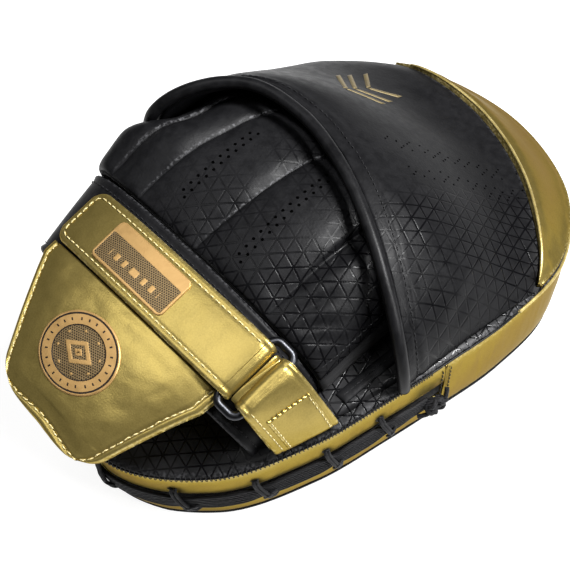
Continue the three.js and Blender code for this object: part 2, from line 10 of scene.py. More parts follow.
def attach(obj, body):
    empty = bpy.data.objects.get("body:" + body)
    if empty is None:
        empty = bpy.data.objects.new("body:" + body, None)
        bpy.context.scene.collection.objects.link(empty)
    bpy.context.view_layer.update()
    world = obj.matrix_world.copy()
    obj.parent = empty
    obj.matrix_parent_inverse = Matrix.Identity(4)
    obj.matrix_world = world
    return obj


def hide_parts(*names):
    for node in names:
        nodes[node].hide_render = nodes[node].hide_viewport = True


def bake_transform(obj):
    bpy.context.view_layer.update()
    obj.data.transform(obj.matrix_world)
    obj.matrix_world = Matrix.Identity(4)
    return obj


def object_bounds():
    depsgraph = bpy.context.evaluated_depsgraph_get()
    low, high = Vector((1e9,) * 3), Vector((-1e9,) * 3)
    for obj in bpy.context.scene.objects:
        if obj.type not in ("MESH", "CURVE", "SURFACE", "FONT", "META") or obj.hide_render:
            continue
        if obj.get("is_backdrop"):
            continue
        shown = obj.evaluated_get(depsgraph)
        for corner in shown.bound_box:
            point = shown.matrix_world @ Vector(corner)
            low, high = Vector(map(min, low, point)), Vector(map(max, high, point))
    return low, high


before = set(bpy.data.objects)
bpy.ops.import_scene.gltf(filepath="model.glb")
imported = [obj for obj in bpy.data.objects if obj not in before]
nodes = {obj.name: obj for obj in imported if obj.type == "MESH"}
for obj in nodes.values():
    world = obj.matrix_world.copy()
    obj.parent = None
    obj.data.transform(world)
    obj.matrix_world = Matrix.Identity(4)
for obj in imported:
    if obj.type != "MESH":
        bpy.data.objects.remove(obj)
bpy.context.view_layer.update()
MM = 0.001

# ---------------------------------------------------------------- the CAD's driving sizes
THICK, RADIUS, TILT, REST = 48.0, 316.0, 0.23, 5.0
GAP, SKIN, ROOM = 0.35, 2.5, 6.0
NEAR_OUTLINE = [141, 132.5, 115, 94.5, 84, 85, 98, 121, 140]
FAR_OUTLINE = [141, 132.5, 115, 98, 93, 97, 110, 127, 140]
STRIKE, BACK_BASE = 2.6, 45.0
LACE_BAND = (15.0, 27.0)
LACE_FROM, TIP_START = 103.0, 91.0
WRIST = 38.0
WRIST_FAR = 2.5
STRAP_U = (-84.5, -57.5)
BAND_U = (-93.0, -51.5)
STRAP_THICK, STRAP_END = 2.2, 75.0
RING_WIRE, RING_SIZE, RING_BAR = 4.0, (37.0, 17.0), -36.5
FOLD_U, FOLD_V = -95.5, (-36.0, 72.0)
END_U, END_V = (-143.0, -139.5), (-13.0, 47.0)
HOOD, HOOD_SEAM, HOOD_SHELL, PIPING = 51.0, 13.0, 4.0, 6.0
CHANNELS = [-53, -22, 21, 57, 76]
COVER_U = (-50.5, 76.0)
SEAM_FROM, SEAM_TO = -57.0, 29.0
ORIGIN = np.array([8.3985, -1.3604, 0.0])
FLOOR = RADIUS * math.cos(141 / RADIUS) - THICK * math.cos(TILT * 141 / RADIUS)


def lerp(a, b, t):
    return a + (b - a) * t


def smooth(x, low, high):
    t = np.clip((np.asarray(x, float) - low) / (high - low), 0, 1)
    return t * t * (3 - 2 * t)


def bend(u, v, w):
    """Flat pattern (along, across, up from the strike face) to the curved mitt."""
    u, v, w = np.broadcast_arrays(np.asarray(u, float), np.asarray(v, float), np.asarray(w, float))
    a = u / RADIUS
    depth = np.minimum(w - THICK, 0)
    r = RADIUS + np.maximum(w - THICK, 0)
    strike = RADIUS * np.cos(a) - THICK * np.cos(TILT * a) - FLOOR
    lift = np.maximum(REST - strike, 0) * np.clip(1 - w / THICK, 0, 1)
    x = r * np.sin(a) + depth * np.sin(TILT * a)
    z = r * np.cos(a) + depth * np.cos(TILT * a) - FLOOR + lift - REST
    return np.stack([x, v, z], -1) + ORIGIN


def over(u, v, h):
    return bend(u, v, THICK + np.asarray(h, float))


# ---------------------------------------------------------------- outline
def _outline():
    rows = [(r, 22.5 * i) for i, r in enumerate(FAR_OUTLINE)]
    rows += [(r, 202.5 + 22.5 * i) for i, r in enumerate(NEAR_OUTLINE[1:-1][::-1])]
    return np.array([[r * math.cos(math.radians(d)), r * math.sin(math.radians(d))] for r, d in rows])


OUTLINE = _outline()


def edge(degrees):
    """Point of the outline, along and across, by its angle from the fingertip end."""
    p = (np.asarray(degrees, float) / 360 % 1) * len(OUTLINE)
    i = np.floor(p).astype(int)
    w = (p - i)[..., None]
    q = [OUTLINE[(i + k) % len(OUTLINE)] for k in (-1, 0, 1, 2)]
    d = [np.sqrt(np.linalg.norm(q[k + 1] - q[k], axis=-1))[..., None] for k in range(3)]
    t1 = (q[1] - q[0]) / d[0] - (q[2] - q[0]) / (d[0] + d[1]) + (q[2] - q[1]) / d[1]
    t2 = (q[2] - q[1]) / d[1] - (q[3] - q[1]) / (d[1] + d[2]) + (q[3] - q[2]) / d[2]
    t1, t2 = t1 * d[1], t2 * d[1]
    return (q[1] + t1 * w + (-3 * q[1] + 3 * q[2] - 2 * t1 - t2) * w**2
            + (2 * q[1] - 2 * q[2] + t1 + t2) * w**3)


def rim(degrees, out=0.0, share=1.0):
    e = edge(degrees)
    r = np.linalg.norm(e, axis=-1)
    s = share * (r + out) / r
    return e * np.asarray(s)[..., None]


def edge_v(u, side):
    d = np.linspace(0, 180, 721) * side
    e = edge(d)
    return side * np.interp(u, e[::-1, 0], e[::-1, 1])


# ---------------------------------------------------------------- arches
def arch(run, near, far, height, power=2.3, wide=4.5, tuck=0.0, off=0.0):
    angle = np.pi * (1 - np.asarray(run, float))
    side = np.cos(angle)
    expo = 2 / np.where(side < 0, power, wide)
    h = (height + off) * np.abs(np.sin(angle)) ** expo
    v = (near + far) / 2 + ((far - near) / 2 + off) * np.sign(side) * np.abs(side) ** expo
    low = np.where(side > 0, np.maximum(1 - h / (0.7 * height), 0) ** 2, 0)
    return v - tuck * low, h


def run_for(v, near, far, power=2.3, wide=4.5):
    share = np.clip((v - (near + far) / 2) / ((far - near) / 2), -1, 1)
    expo = np.where(share < 0, power, wide) / 2
    return 1 - np.arccos(np.sign(share) * np.abs(share) ** expo) / np.pi


def wrist_arch(v, off=0.0, height=WRIST):
    v = np.asarray(v, float)
    share = np.minimum(np.abs(v - 8) / (np.where(v < 8, 80, 88) + off), 1)
    power = np.where(v < 8, 2.3, WRIST_FAR)
    return (height + off) * (1 - share**power) ** (1 / power)


def cover_section(u):
    u = np.asarray(u, float)
    rise, fall = smooth(u, -60, -10), smooth(u, 0, 84)
    return dict(
        near=CHANNELS[0] - 3 + 16 * smooth(u, 10, 84),
        far=92 - 14 * smooth(u, -42, -20) - 26 * smooth(u, -5, 84),
        height=lerp(WRIST - 5, 37.5, rise) - 30 * fall, power=2.5,
        tuck=np.maximum(96 - edge_v(u, 1), 0) * (1 - smooth(u, -42, -18)))


def band_section(u):
    u = np.asarray(u, float)
    return dict(near=-53.5, far=90 + 7 * (u - BAND_U[0]) / (BAND_U[1] - BAND_U[0]),
                height=WRIST - 1, wide=WRIST_FAR, tuck=np.maximum(98 - edge_v(u, 1), 0))


def hood_edge_u(v):
    v = np.asarray(v, float)
    return np.where(v < 30, 20 - 41 * np.maximum((30 - v) / 109, 0) ** 1.5, 20 - 38 * ((v - 30) / 60) ** 3)


def seam_point(t):
    t = np.asarray(t, float)
    degrees = lerp(SEAM_FROM, SEAM_TO, t)
    half = (SEAM_TO - SEAM_FROM) / 2
    share = 0.77 + 0.225 * np.abs((degrees - (SEAM_FROM + SEAM_TO) / 2) / half) ** 2.3
    p = edge(degrees) * share[..., None]
    return p[..., 0], p[..., 1]


def hood_point(t, run, off):
    t, run = np.broadcast_arrays(np.asarray(t, float), np.asarray(run, float))
    v0, h = arch(run, -80.5, 90, HOOD, 2.5, 5, 0, off)
    level = np.maximum(1 - np.abs(2 * run - 1) ** 6, 0)
    seam_u, seam_v = seam_point(run)
    u = lerp(hood_edge_u(v0 - np.sign(v0) * off), seam_u, t)
    end_u, end_v = seam_point(1.0)
    bow = np.maximum(edge_v(lerp(hood_edge_u(90), end_u, t), 1) - 1.5 - lerp(90, end_v, t), 0)
    v = lerp(v0, seam_v * (1 + off / 90), t) + bow * np.maximum(2 * run - 1, 0) ** 1.3
    fall = np.clip((u - 16) / 93, 0, 1)
    k = fall + (1 - fall) * t**4
    crown = lerp(HOOD, HOOD_SEAM, k**1.25 * (1.35 - 0.35 * k)) / HOOD
    return u, v, lerp(h * crown, np.minimum(h, HOOD_SEAM + off) * level, t * t)


def noise2(x, y, seed=0, octaves=3):
    """Smooth value noise, about -1 to 1, the same on every run."""
    total, amp = 0.0, 1.0
    x, y = np.asarray(x, float), np.asarray(y, float)
    for o in range(octaves):
        xi, yi = np.floor(x), np.floor(y)
        fx, fy = x - xi, y - yi
        fx, fy = fx * fx * (3 - 2 * fx), fy * fy * (3 - 2 * fy)

        def lattice(a, b):
            s = np.sin(a * 127.1 + b * 311.7 + (seed + o) * 74.7) * 43758.5453
            return (s - np.floor(s)) * 2 - 1

        row0 = lerp(lattice(xi, yi), lattice(xi + 1, yi), fx)
        row1 = lerp(lattice(xi, yi + 1), lattice(xi + 1, yi + 1), fx)
        total = total + amp * lerp(row0, row1, fy)
        x, y, amp = x * 2.03 + 3.1, y * 2.03 + 7.7, amp * 0.5
    return total / 1.75


# ---------------------------------------------------------------- meshes
def quads(m, n, wrap=False):
    i = np.arange(m - 1)[:, None]
    j = np.arange(n if wrap else n - 1)[None, :]
    k = (j + 1) % n
    return np.stack([i * n + j, (i + 1) * n + j, (i + 1) * n + k, i * n + k], -1).reshape(-1, 4).tolist()


def shell(outer, inner):
    """Closed shell from two grids of the same size."""
    m, n = outer.shape[:2]
    face = quads(m, n)
    c = m * n
    face += [[c + q for q in reversed(f)] for f in quads(m, n)]
    for j in range(n - 1):
        face.append([j, j + 1, c + j + 1, c + j])
        e = (m - 1) * n + j
        face.append([e + 1, e, c + e, c + e + 1])
    for i in range(m - 1):
        a, b = i * n, (i + 1) * n
        face.append([b, a, c + a, c + b])
        face.append([a + n - 1, b + n - 1, c + b + n - 1, c + a + n - 1])
    return np.concatenate([outer.reshape(-1, 3), inner.reshape(-1, 3)]), face


def loft(sections, closed=False):
    """Closed solid through rings of points: (rings, points, 3)."""
    s = np.asarray(sections, float)
    k, n = s.shape[:2]
    if closed:
        s = np.concatenate([s, s[:1]])
        face = quads(k + 1, n, wrap=True)
        face = [[q % (k * n) for q in f] for f in face]
        return s[:-1].reshape(-1, 3), face
    face = quads(k, n, wrap=True)
    face.append([(k - 1) * n + j for j in range(n)])
    face.append([j for j in reversed(range(n))])
    return s.reshape(-1, 3), face


def frames(path, closed=False, up=None):
    """Unit tangents and two cross directions along a path."""
    p = np.asarray(path, float)
    t = (np.roll(p, -1, 0) - np.roll(p, 1, 0)) if closed else np.gradient(p, axis=0)
    t /= np.linalg.norm(t, axis=1)[:, None]
    if up is None:
        n = np.zeros_like(p)
        seed = np.array([0.0, 0, 1]) if abs(t[0][2]) < 0.8 else np.array([0.0, 1, 0])
        n[0] = seed - t[0] * (seed @ t[0])
        for i in range(1, len(p)):
            n[i] = n[i - 1] - t[i] * (n[i - 1] @ t[i])
            n[i] /= np.linalg.norm(n[i])
        n[0] /= np.linalg.norm(n[0])
    else:
        n = np.asarray(up, float) - t * np.sum(np.asarray(up, float) * t, 1)[:, None]
        n /= np.linalg.norm(n, axis=1)[:, None]
    return t, n, np.cross(t, n)


def tube(path, radius, sides=10, closed=False, up=None, twist=0.0, lobes=0.0):
    """Round tube; lobes gives it the strands of a twisted cord."""
    p = np.asarray(path, float)
    _, n, b = frames(p, closed, up)
    r = np.broadcast_to(np.asarray(radius, float), (len(p),))[:, None]
    a = np.linspace(0, 2 * np.pi, sides, endpoint=False)[None, :] + np.zeros((len(p), 1))
    turn = np.arange(len(p))[:, None] * twist
    rr = r * (1 + lobes * np.cos(3 * (a - turn)))
    ring = (p[:, None] + (rr * np.cos(a))[..., None] * b[:, None]
            + (rr * np.sin(a))[..., None] * n[:, None])
    return loft(ring, closed)


def both(front, back=0.0):
    """A value for each point of a shell: its outer grid, then its inner one."""
    return np.concatenate([front.ravel(), np.broadcast_to(back, front.shape).ravel()])


def put(name, parts, material, body="root", replaces=(), slot=None, uv=None, attrs=None, pad=None,
        blend=None):
    """Makes one Blender object from (vertices, faces) parts in millimetres."""
    if isinstance(parts, tuple):
        parts = [parts]
    verts, faces, base = [], [], 0
    for v, f in parts:
        v = np.asarray(v, float)
        tri = np.array([[q[0], q[k], q[k + 1]] for q in f for k in range(1, len(q) - 1)])
        a, b, c = v[tri[:, 0]], v[tri[:, 1]], v[tri[:, 2]]
        size = np.sum(a * np.cross(b, c))
        if size < 0:
            f = [q[::-1] for q in f]
        verts.append(v)
        faces += [[base + x for x in q] for q in f]
        base += len(v)
    verts = np.concatenate(verts) * MM
    me = bpy.data.meshes.new(name)
    me.from_pydata(verts.tolist(), [], faces)
    me.update()
    me.polygons.foreach_set("use_smooth", [True] * len(me.polygons))
    if uv is not None:
        flat = np.asarray(uv, float).reshape(-1, 2) * MM
        layer = me.uv_layers.new(name="flat")
        loop = np.zeros(len(me.loops), int)
        me.loops.foreach_get("vertex_index", loop)
        layer.data.foreach_set("uv", flat[loop].astype(np.float32).ravel())
    for key, values in (attrs or {}).items():
        at = me.attributes.new(key, "FLOAT", "POINT")
        at.data.foreach_set("value", np.asarray(values, np.float32).ravel())
    obj = bpy.data.objects.new(name, me)
    bpy.context.scene.collection.objects.link(obj)
    me.materials.append(material)
    if replaces:
        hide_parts(*replaces)
    if blend:
        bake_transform(obj)
    else:
        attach(obj, body)
    return obj


def inflate(points, pinned, pressure, grow, frames_run, cap, stiff, settle):
    """Cloth simulation of an open grid in millimetres, held where pinned is 1; returns the settled points."""
    m, n = points.shape[:2]
    me = bpy.data.meshes.new("sheet")
    me.from_pydata((points.reshape(-1, 3) * MM).tolist(), [], quads(m, n))
    obj = bpy.data.objects.new("sheet", me)
    bpy.context.scene.collection.objects.link(obj)
    group = obj.vertex_groups.new(name="pin")
    flat = np.asarray(pinned, float).ravel()
    for value in np.unique(np.round(flat, 2)):
        if value > 0:
            group.add(np.where(np.round(flat, 2) == value)[0].tolist(), float(value), "REPLACE")
    cloth = obj.modifiers.new("cloth", "CLOTH")
    s = cloth.settings
    s.quality = 7
    s.mass = 0.3
    s.tension_stiffness = s.compression_stiffness = stiff
    s.shear_stiffness = stiff * 0.6
    s.bending_stiffness = 0.6
    s.tension_damping = s.compression_damping = 12
    s.shear_damping = 8
    s.air_damping = 4
    s.vertex_group_mass = "pin"
    s.pin_stiffness = 1.0
    s.shrink_min = s.shrink_max = -grow
    s.use_pressure = True
    s.uniform_pressure_force = pressure
    s.effector_weights.gravity = 0
    cloth.collision_settings.use_collision = False
    cloth.point_cache.frame_start, cloth.point_cache.frame_end = 1, frames_run
    scene = bpy.context.scene
    for f in range(1, frames_run + 1):
        scene.frame_set(f)
    seen = obj.evaluated_get(bpy.context.evaluated_depsgraph_get())
    co = np.zeros(len(me.vertices) * 3, np.float32)
    seen.data.vertices.foreach_get("co", co)
    bpy.data.objects.remove(obj)
    scene.frame_set(1)
    moved = co.reshape(m, n, 3).astype(float) / MM - points
    held = np.asarray(pinned, float)[..., None]
    for _ in range(settle):
        wide = np.pad(moved, ((1, 1), (1, 1), (0, 0)), "edge")
        near = (wide[2:, 1:-1] + wide[:-2, 1:-1] + wide[1:-1, 2:] + wide[1:-1, :-2]) / 4
        moved = lerp(moved, near, 0.8) * (1 - held)
    far = np.linalg.norm(moved, axis=-1, keepdims=True)
    return points + moved * np.minimum(1, cap / np.maximum(far, 1e-6))


def normals(points):
    """Unit normals of a grid of points."""
    du, dv = np.gradient(points, axis=0), np.gradient(points, axis=1)
    n = np.cross(du, dv)
    return n / np.maximum(np.linalg.norm(n, axis=-1, keepdims=True), 1e-9)


def lengths(points, axis):
    """Running length over a grid along one of its directions."""
    d = np.linalg.norm(np.diff(points, axis=axis), axis=-1)
    zero = np.zeros_like(np.take(d, [0], axis))
    return np.concatenate([zero, np.cumsum(d, axis)], axis)


def rolled(d, radius):
    """0 at a rounded edge, rising to 1 a radius in."""
    return np.sqrt(np.clip(1 - (1 - np.clip(d / radius, 0, 1)) ** 2, 0, 1))


def eased(count, pull=0.6):
    t = np.linspace(0, 1, count)
    return lerp(t, 0.5 - 0.5 * np.cos(np.pi * t), pull)


def resample(path, step):
    """Points at even steps along a path."""
    p = np.asarray(path, float)
    s = np.concatenate([[0], np.cumsum(np.linalg.norm(np.diff(p, axis=0), axis=1))])
    count = max(int(round(s[-1] / step)) + 1, 2)
    at = np.linspace(0, s[-1], count)
    return np.stack([np.interp(at, s, p[:, k]) for k in range(3)], 1)


def stitches(path, up, length=2.6, pitch=3.6, radius=0.32, slant=0.0):
    """Run of separate thread stitches over a path, each with its ends sunk in the leather."""
    p = np.asarray(path, float)
    up = np.broadcast_to(np.asarray(up, float), p.shape)
    s = np.concatenate([[0], np.cumsum(np.linalg.norm(np.diff(p, axis=0), axis=1))])
    parts = []
    at = pitch / 2
    while at + length / 2 < s[-1]:
        c = np.array([np.interp(at, s, p[:, k]) for k in range(3)])
        d = np.array([np.interp(min(at + 0.5, s[-1]), s, p[:, k]) for k in range(3)]) - c
        d /= max(np.linalg.norm(d), 1e-9)
        n = np.array([np.interp(at, s, up[:, k]) for k in range(3)])
        n -= d * (n @ d)
        n /= np.linalg.norm(n)
        side = np.cross(d, n)
        line = []
        for x in np.linspace(-1, 1, 5):
            height = radius * 1.1 - 0.75 * radius * 2 * x**4
            line.append(c + d * x * length / 2 + side * slant * x + n * height)
        parts.append(tube(line, radius * np.array([0.6, 0.95, 1.05, 0.95, 0.6]), 6, up=np.tile(n, (5, 1))))
        at += pitch
    return parts


def catmull(points, samples):
    """Open centripetal curve through points; returns positions and unit tangents at even parameters."""
    p = np.asarray(points, float)
    p = np.concatenate([[2 * p[0] - p[1]], p, [2 * p[-1] - p[-2]]])
    count = len(p) - 3
    t = np.linspace(0, count, samples)
    i = np.minimum(np.floor(t).astype(int), count - 1)
    w = (t - i)[:, None]
    q = [p[i + k] for k in range(4)]
    d = [np.maximum(np.sqrt(np.linalg.norm(q[k + 1] - q[k], axis=1)), 1e-4)[:, None] for k in range(3)]
    t1 = ((q[1] - q[0]) / d[0] - (q[2] - q[0]) / (d[0] + d[1]) + (q[2] - q[1]) / d[1]) * d[1]
    t2 = ((q[2] - q[1]) / d[1] - (q[3] - q[1]) / (d[1] + d[2]) + (q[3] - q[2]) / d[2]) * d[1]
    at = (q[1] + t1 * w + (-3 * q[1] + 3 * q[2] - 2 * t1 - t2) * w**2
          + (2 * q[1] - 2 * q[2] + t1 + t2) * w**3)
    tangent = np.gradient(at, axis=0)
    return at, tangent / np.maximum(np.linalg.norm(tangent, axis=1), 1e-9)[:, None]


# ---------------------------------------------------------------- materials
class Paint:
    """Principled material with procedural nodes in the object's own coordinates."""

    def __init__(self, name, **fixed):
        self.mat = bpy.data.materials.new(name)
        self.mat.use_nodes = True
        self.tree = self.mat.node_tree
        self.skin = self.tree.nodes["Principled BSDF"]
        for key, value in fixed.items():
            self.skin.inputs[key.replace("_", " ")].default_value = value
        self.here = self.node("TexCoord", out="Object")

    def node(self, kind, props=None, ins=None, out=0):
        n = self.tree.nodes.new("ShaderNode" + kind)
        for key, value in (props or {}).items():
            setattr(n, key, value)
        for key, value in (ins or {}).items():
            if isinstance(value, bpy.types.NodeSocket):
                self.tree.links.new(value, n.inputs[key])
            else:
                n.inputs[key].default_value = value
        return n.outputs[out]

    def math(self, operation, a, b=0.0, c=0.0):
        return self.node("Math", {"operation": operation}, {0: a, 1: b, 2: c})

    def noise(self, scale, detail=3.0, rough=0.5):
        return self.node("TexNoise", None, {"Vector": self.here, "Scale": scale, "Detail": detail,
                                            "Roughness": rough})

    def cells(self, scale, feature="F1"):
        return self.node("TexVoronoi", {"feature": feature}, {"Vector": self.here, "Scale": scale})

    def attribute(self, name):
        return self.node("Attribute", {"attribute_name": name}, out="Fac")

    def spread(self, value, a, b, c=0.0, d=1.0):
        """Eases a value from the range a to b into the range c to d."""
        return self.node("MapRange", {"interpolation_type": "SMOOTHSTEP"}, {0: value, 1: a, 2: b, 3: c, 4: d})

    def mix(self, factor, a, b):
        as4 = [x if isinstance(x, bpy.types.NodeSocket) else (*x, 1.0) for x in (a, b)]
        return self.node("Mix", {"data_type": "RGBA"}, {0: factor, 6: as4[0], 7: as4[1]}, out=2)

    def use(self, socket, value):
        self.tree.links.new(value, self.skin.inputs[socket])

    def bump(self, height, distance, strength=1.0, after=None):
        ins = {"Height": height, "Distance": distance, "Strength": strength}
        if after is not None:
            ins["Normal"] = after
        return self.node("Bump", None, ins)


def lattice_lines(p, spacing=0.0062, turn=-43.5, width=0.075):
    """1 on the lines of a triangular lattice drawn in the piece's flat pattern."""
    flat = p.node("UVMap", {"uv_map": "flat"})
    worst = None
    for k in range(3):
        a = math.radians(turn + 90 + 60 * k)
        dot = p.node("VectorMath", {"operation": "DOT_PRODUCT"},
                     {0: flat, 1: (math.cos(a) / spacing, math.sin(a) / spacing, 0)}, out="Value")
        f = p.math("ABSOLUTE", p.math("SUBTRACT", p.math("FRACT", p.math("ADD", dot, 40.5)), 0.5))
        line = p.spread(f, width * 0.45, width * 1.25, 1.0, 0.0)
        worst = line if worst is None else p.math("MAXIMUM", worst, line)
    return worst


def leather(name, dark, light, rough, metal=0.0, grain=900.0, depth=5e-5, lattice=False,
            wear=(0.5, 0.5, 0.5), specular=0.5, **more):
    """Grained leatherette: "wear" lightens its edges (rubbing, and on the quilted cover a painted highlight
    along the seams); "lattice" prints the triangular pattern on it.
    """
    p = Paint(name, Metallic=metal, Specular_IOR_Level=specular, **more)
    broad, middle, fine = p.noise(28, 2), p.noise(230, 3), p.noise(grain * 2.3, 2)
    pebble = p.cells(grain, "SMOOTH_F1")
    tone = p.math("ADD", p.math("MULTIPLY", broad, 0.45), p.math("MULTIPLY", middle, 0.55))
    colour = p.mix(p.spread(tone, 0.36, 0.64), dark, light)
    # Darker in the pits between the grain's pebbles: painted shade.
    crevice_shade = p.spread(pebble, 0.1, 0.75, 0.0, 0.22)
    colour = p.mix(crevice_shade, colour, tuple(x * 0.45 for x in dark))
    # Lightens where the "wear" attribute is set: rubbed edges, and on the quilted cover a painted highlight
    # along the seam lips.
    edge_wear_and_seam_highlight = p.math("MULTIPLY", p.attribute("wear"), p.spread(p.noise(700, 3), 0.42, 0.68))
    colour = p.mix(p.math("MULTIPLY", edge_wear_and_seam_highlight, 0.5), colour, wear)
    slack = 0.045 if metal < 0.5 else 0.015
    roughness = p.math("ADD", p.spread(middle, 0.3, 0.7, rough - slack, rough + slack),
                       p.math("MULTIPLY", edge_wear_and_seam_highlight, 0.08))
    height = p.math("ADD", p.math("MULTIPLY", pebble, -0.8), p.math("MULTIPLY", fine, 0.45))
    normal = p.bump(p.noise(75, 3), 0.0005 if metal < 0.5 else 0.0001, 0.5)
    if lattice:
        line = p.math("MULTIPLY", lattice_lines(p), p.math("MULTIPLY", p.attribute("lattice"),
                                                          p.spread(p.noise(33, 2), 0.3, 0.52, 0.45, 1.0)))
        colour = p.mix(p.math("MULTIPLY", line, 0.9), colour, (0.0015, 0.0015, 0.0018))
        roughness = p.math("SUBTRACT", roughness, p.math("MULTIPLY", line, 0.26))
        height = p.math("SUBTRACT", height, p.math("MULTIPLY", line, 1.8))
    normal = p.bump(height, depth, 1.0, normal)
    p.use("Base Color", colour)
    p.use("Roughness", roughness)
    p.use("Normal", normal)
    return p.mat


def cloth_weave(name, dark, light, rough, scale=1500.0, depth=8e-5):
    p = Paint(name, Sheen_Weight=0.04, Specular_IOR_Level=0.2)
    x = p.node("TexWave", {"bands_direction": "X"}, {"Vector": p.here, "Scale": scale / 3, "Distortion": 1.5})
    y = p.node("TexWave", {"bands_direction": "Y"}, {"Vector": p.here, "Scale": scale / 3, "Distortion": 1.5})
    weave = p.math("MULTIPLY", x, y)
    tone = p.math("ADD", p.math("MULTIPLY", weave, 0.6), p.math("MULTIPLY", p.noise(160), 0.4))
    p.use("Base Color", p.mix(tone, dark, light))
    p.use("Roughness", p.spread(p.noise(300), 0.3, 0.7, rough - 0.06, rough + 0.06))
    p.use("Normal", p.bump(weave, depth, 0.8))
    return p.mat


def thread(name, dark, light, rough=0.55, twist=900.0, depth=6e-5, sheen=0.1, specular=0.4):
    p = Paint(name, Sheen_Weight=sheen, Specular_IOR_Level=specular)
    ply = p.node("TexWave", {"bands_direction": "DIAGONAL"},
                 {"Vector": p.here, "Scale": twist / 3, "Distortion": 2.0, "Detail": 2.0})
    tone = p.math("MULTIPLY", ply, p.spread(p.noise(800), 0.2, 0.8, 0.6, 1.0))
    p.use("Base Color", p.mix(tone, dark, light))
    p.use("Roughness", p.spread(p.noise(500), 0.3, 0.7, rough - 0.07, rough + 0.07))
    p.use("Normal", p.bump(ply, depth, 0.9))
    return p.mat


def foam(name, dark, light, rough=0.8, scale=1300.0, specular=0.5):
    p = Paint(name, Specular_IOR_Level=specular)
    cell = p.cells(scale)
    p.use("Base Color", p.mix(cell, dark, light))
    p.use("Roughness", p.spread(p.noise(200), 0.3, 0.7, rough - 0.05, rough + 0.08))
    p.use("Normal", p.bump(cell, 1e-4, 0.8))
    return p.mat


BLACK = leather("black_leatherette", (0.0045, 0.0045, 0.005), (0.0075, 0.0075, 0.0082), 0.43, lattice=True,
                wear=(0.09, 0.09, 0.095), specular=0.12, IOR=1.36)
# Lighter copy of the black leatherette: painted light on the back panel, standing in for light the cuff keeps
# off it.
BLACK_LIT_PANEL = leather("black_leatherette_painted_light_panel", (0.010, 0.010, 0.0105), (0.016, 0.016, 0.017), 0.38,
                      lattice=True, wear=(0.09, 0.09, 0.095), specular=0.2, IOR=1.4)
BLACK_TRIM = leather("black_trim", (0.003, 0.003, 0.0034), (0.007, 0.007, 0.0077), 0.4, grain=1300,
                     wear=(0.07, 0.07, 0.075), specular=0.2, IOR=1.36)
GOLD_SKIN = dict(metal=0.85, grain=1500, depth=3.5e-5, wear=(0.8, 0.68, 0.34), specular=0.3,
                 Specular_Tint=(0.30, 0.23, 0.08, 1))
GOLD = leather("gold_leatherette", (0.335, 0.255, 0.076), (0.35, 0.268, 0.083), 0.31, **GOLD_SKIN)
# Darker copy of the gold leatherette: painted shade for the fingertip crescent, the same gold shaded where
# light falls off towards the tip.
GOLD_SHADED_TIP = leather("gold_leatherette_painted_shade_tip", (0.24, 0.18, 0.052), (0.25, 0.19, 0.057), 0.36, **GOLD_SKIN)
GOLD_EDGE = leather("gold_edge", (0.42, 0.32, 0.10), (0.62, 0.5, 0.2), 0.36, metal=0.75, grain=1500,
                    depth=3e-5, wear=(0.85, 0.72, 0.4))
GOLD_THREAD = thread("gold_thread", (0.36, 0.29, 0.11), (0.66, 0.57, 0.31), 0.55)
BLACK_THREAD = thread("black_thread", (0.002, 0.002, 0.002), (0.016, 0.016, 0.018), 0.6,
                      sheen=0.03, specular=0.2)
# Near-black with no reflection: painted shade standing in for the depth of the punched holes.
HOLE_SHADE = foam("punched_hole_painted_shade", (0.0003, 0.0003, 0.0003), (0.0008, 0.0008, 0.0008), 0.9, specular=0.0)
CORD = thread("black_cord", (0.0025, 0.0025, 0.003), (0.012, 0.012, 0.0135), 0.6, twist=1500, depth=1.0e-4,
              sheen=0.02, specular=0.15)
LINER = cloth_weave("liner_fabric", (0.004, 0.004, 0.0045), (0.014, 0.014, 0.015), 0.85)
FOAM = foam("foam_cells", (0.16, 0.16, 0.16), (0.3, 0.3, 0.3))
GEL = foam("gel_sheet", (0.12, 0.2, 0.26), (0.2, 0.33, 0.42), 0.4, 300.0)


def steel():
    p = Paint("steel_ring", Metallic=1.0)
    scratch = p.noise(900, 4, 0.6)
    p.use("Base Color", p.mix(p.noise(120), (0.02, 0.021, 0.024), (0.05, 0.051, 0.056)))
    p.use("Roughness", p.spread(scratch, 0.3, 0.7, 0.3, 0.42))
    p.use("Normal", p.bump(scratch, 1.5e-5, 0.6))
    return p.mat


def plate_paint(name):
    """Printed patch: copper where "zone" is 1, dark honeycomb where it is 0, fine dark lines on "line"."""
    p = Paint(name, Metallic=0.6, Specular_IOR_Level=0.5)
    copper = p.mix(p.noise(260, 3), (0.38, 0.225, 0.08), (0.45, 0.28, 0.105))
    hexes = None
    for k in range(3):
        a = math.radians(-43.5 + 60 * k)
        wave = p.node("VectorMath", {"operation": "DOT_PRODUCT"},
                      {0: p.here, 1: (math.cos(a) * 6400, math.sin(a) * 6400, 0)}, out="Value")
        wave = p.math("COSINE", wave)
        hexes = wave if hexes is None else p.math("ADD", hexes, wave)
    ground = p.mix(p.spread(hexes, -0.9, 0.9), (0.2, 0.135, 0.06), (0.03, 0.021, 0.012))
    main, second = p.attribute("zone"), p.attribute("line")
    colour = p.mix(p.spread(main, 0.47, 0.53), ground, copper)
    colour = p.mix(p.spread(second, 0.4, 0.6), colour, (0.02, 0.014, 0.01))
    p.use("Base Color", colour)
    p.use("Roughness", p.spread(p.noise(420), 0.3, 0.7, 0.34, 0.46))
    relief = p.math("MULTIPLY", p.math("SUBTRACT", 1.0, main), p.math("MULTIPLY", hexes, 0.3))
    p.use("Normal", p.bump(relief, 1.2e-4, 0.5))
    return p.mat


STEEL = steel()
BADGE = plate_paint("copper_badge")
LABEL = plate_paint("copper_label")
EMBLEM = leather("dull_gold_print", (0.10, 0.075, 0.03), (0.14, 0.105, 0.043), 0.5, metal=0.4, grain=900)

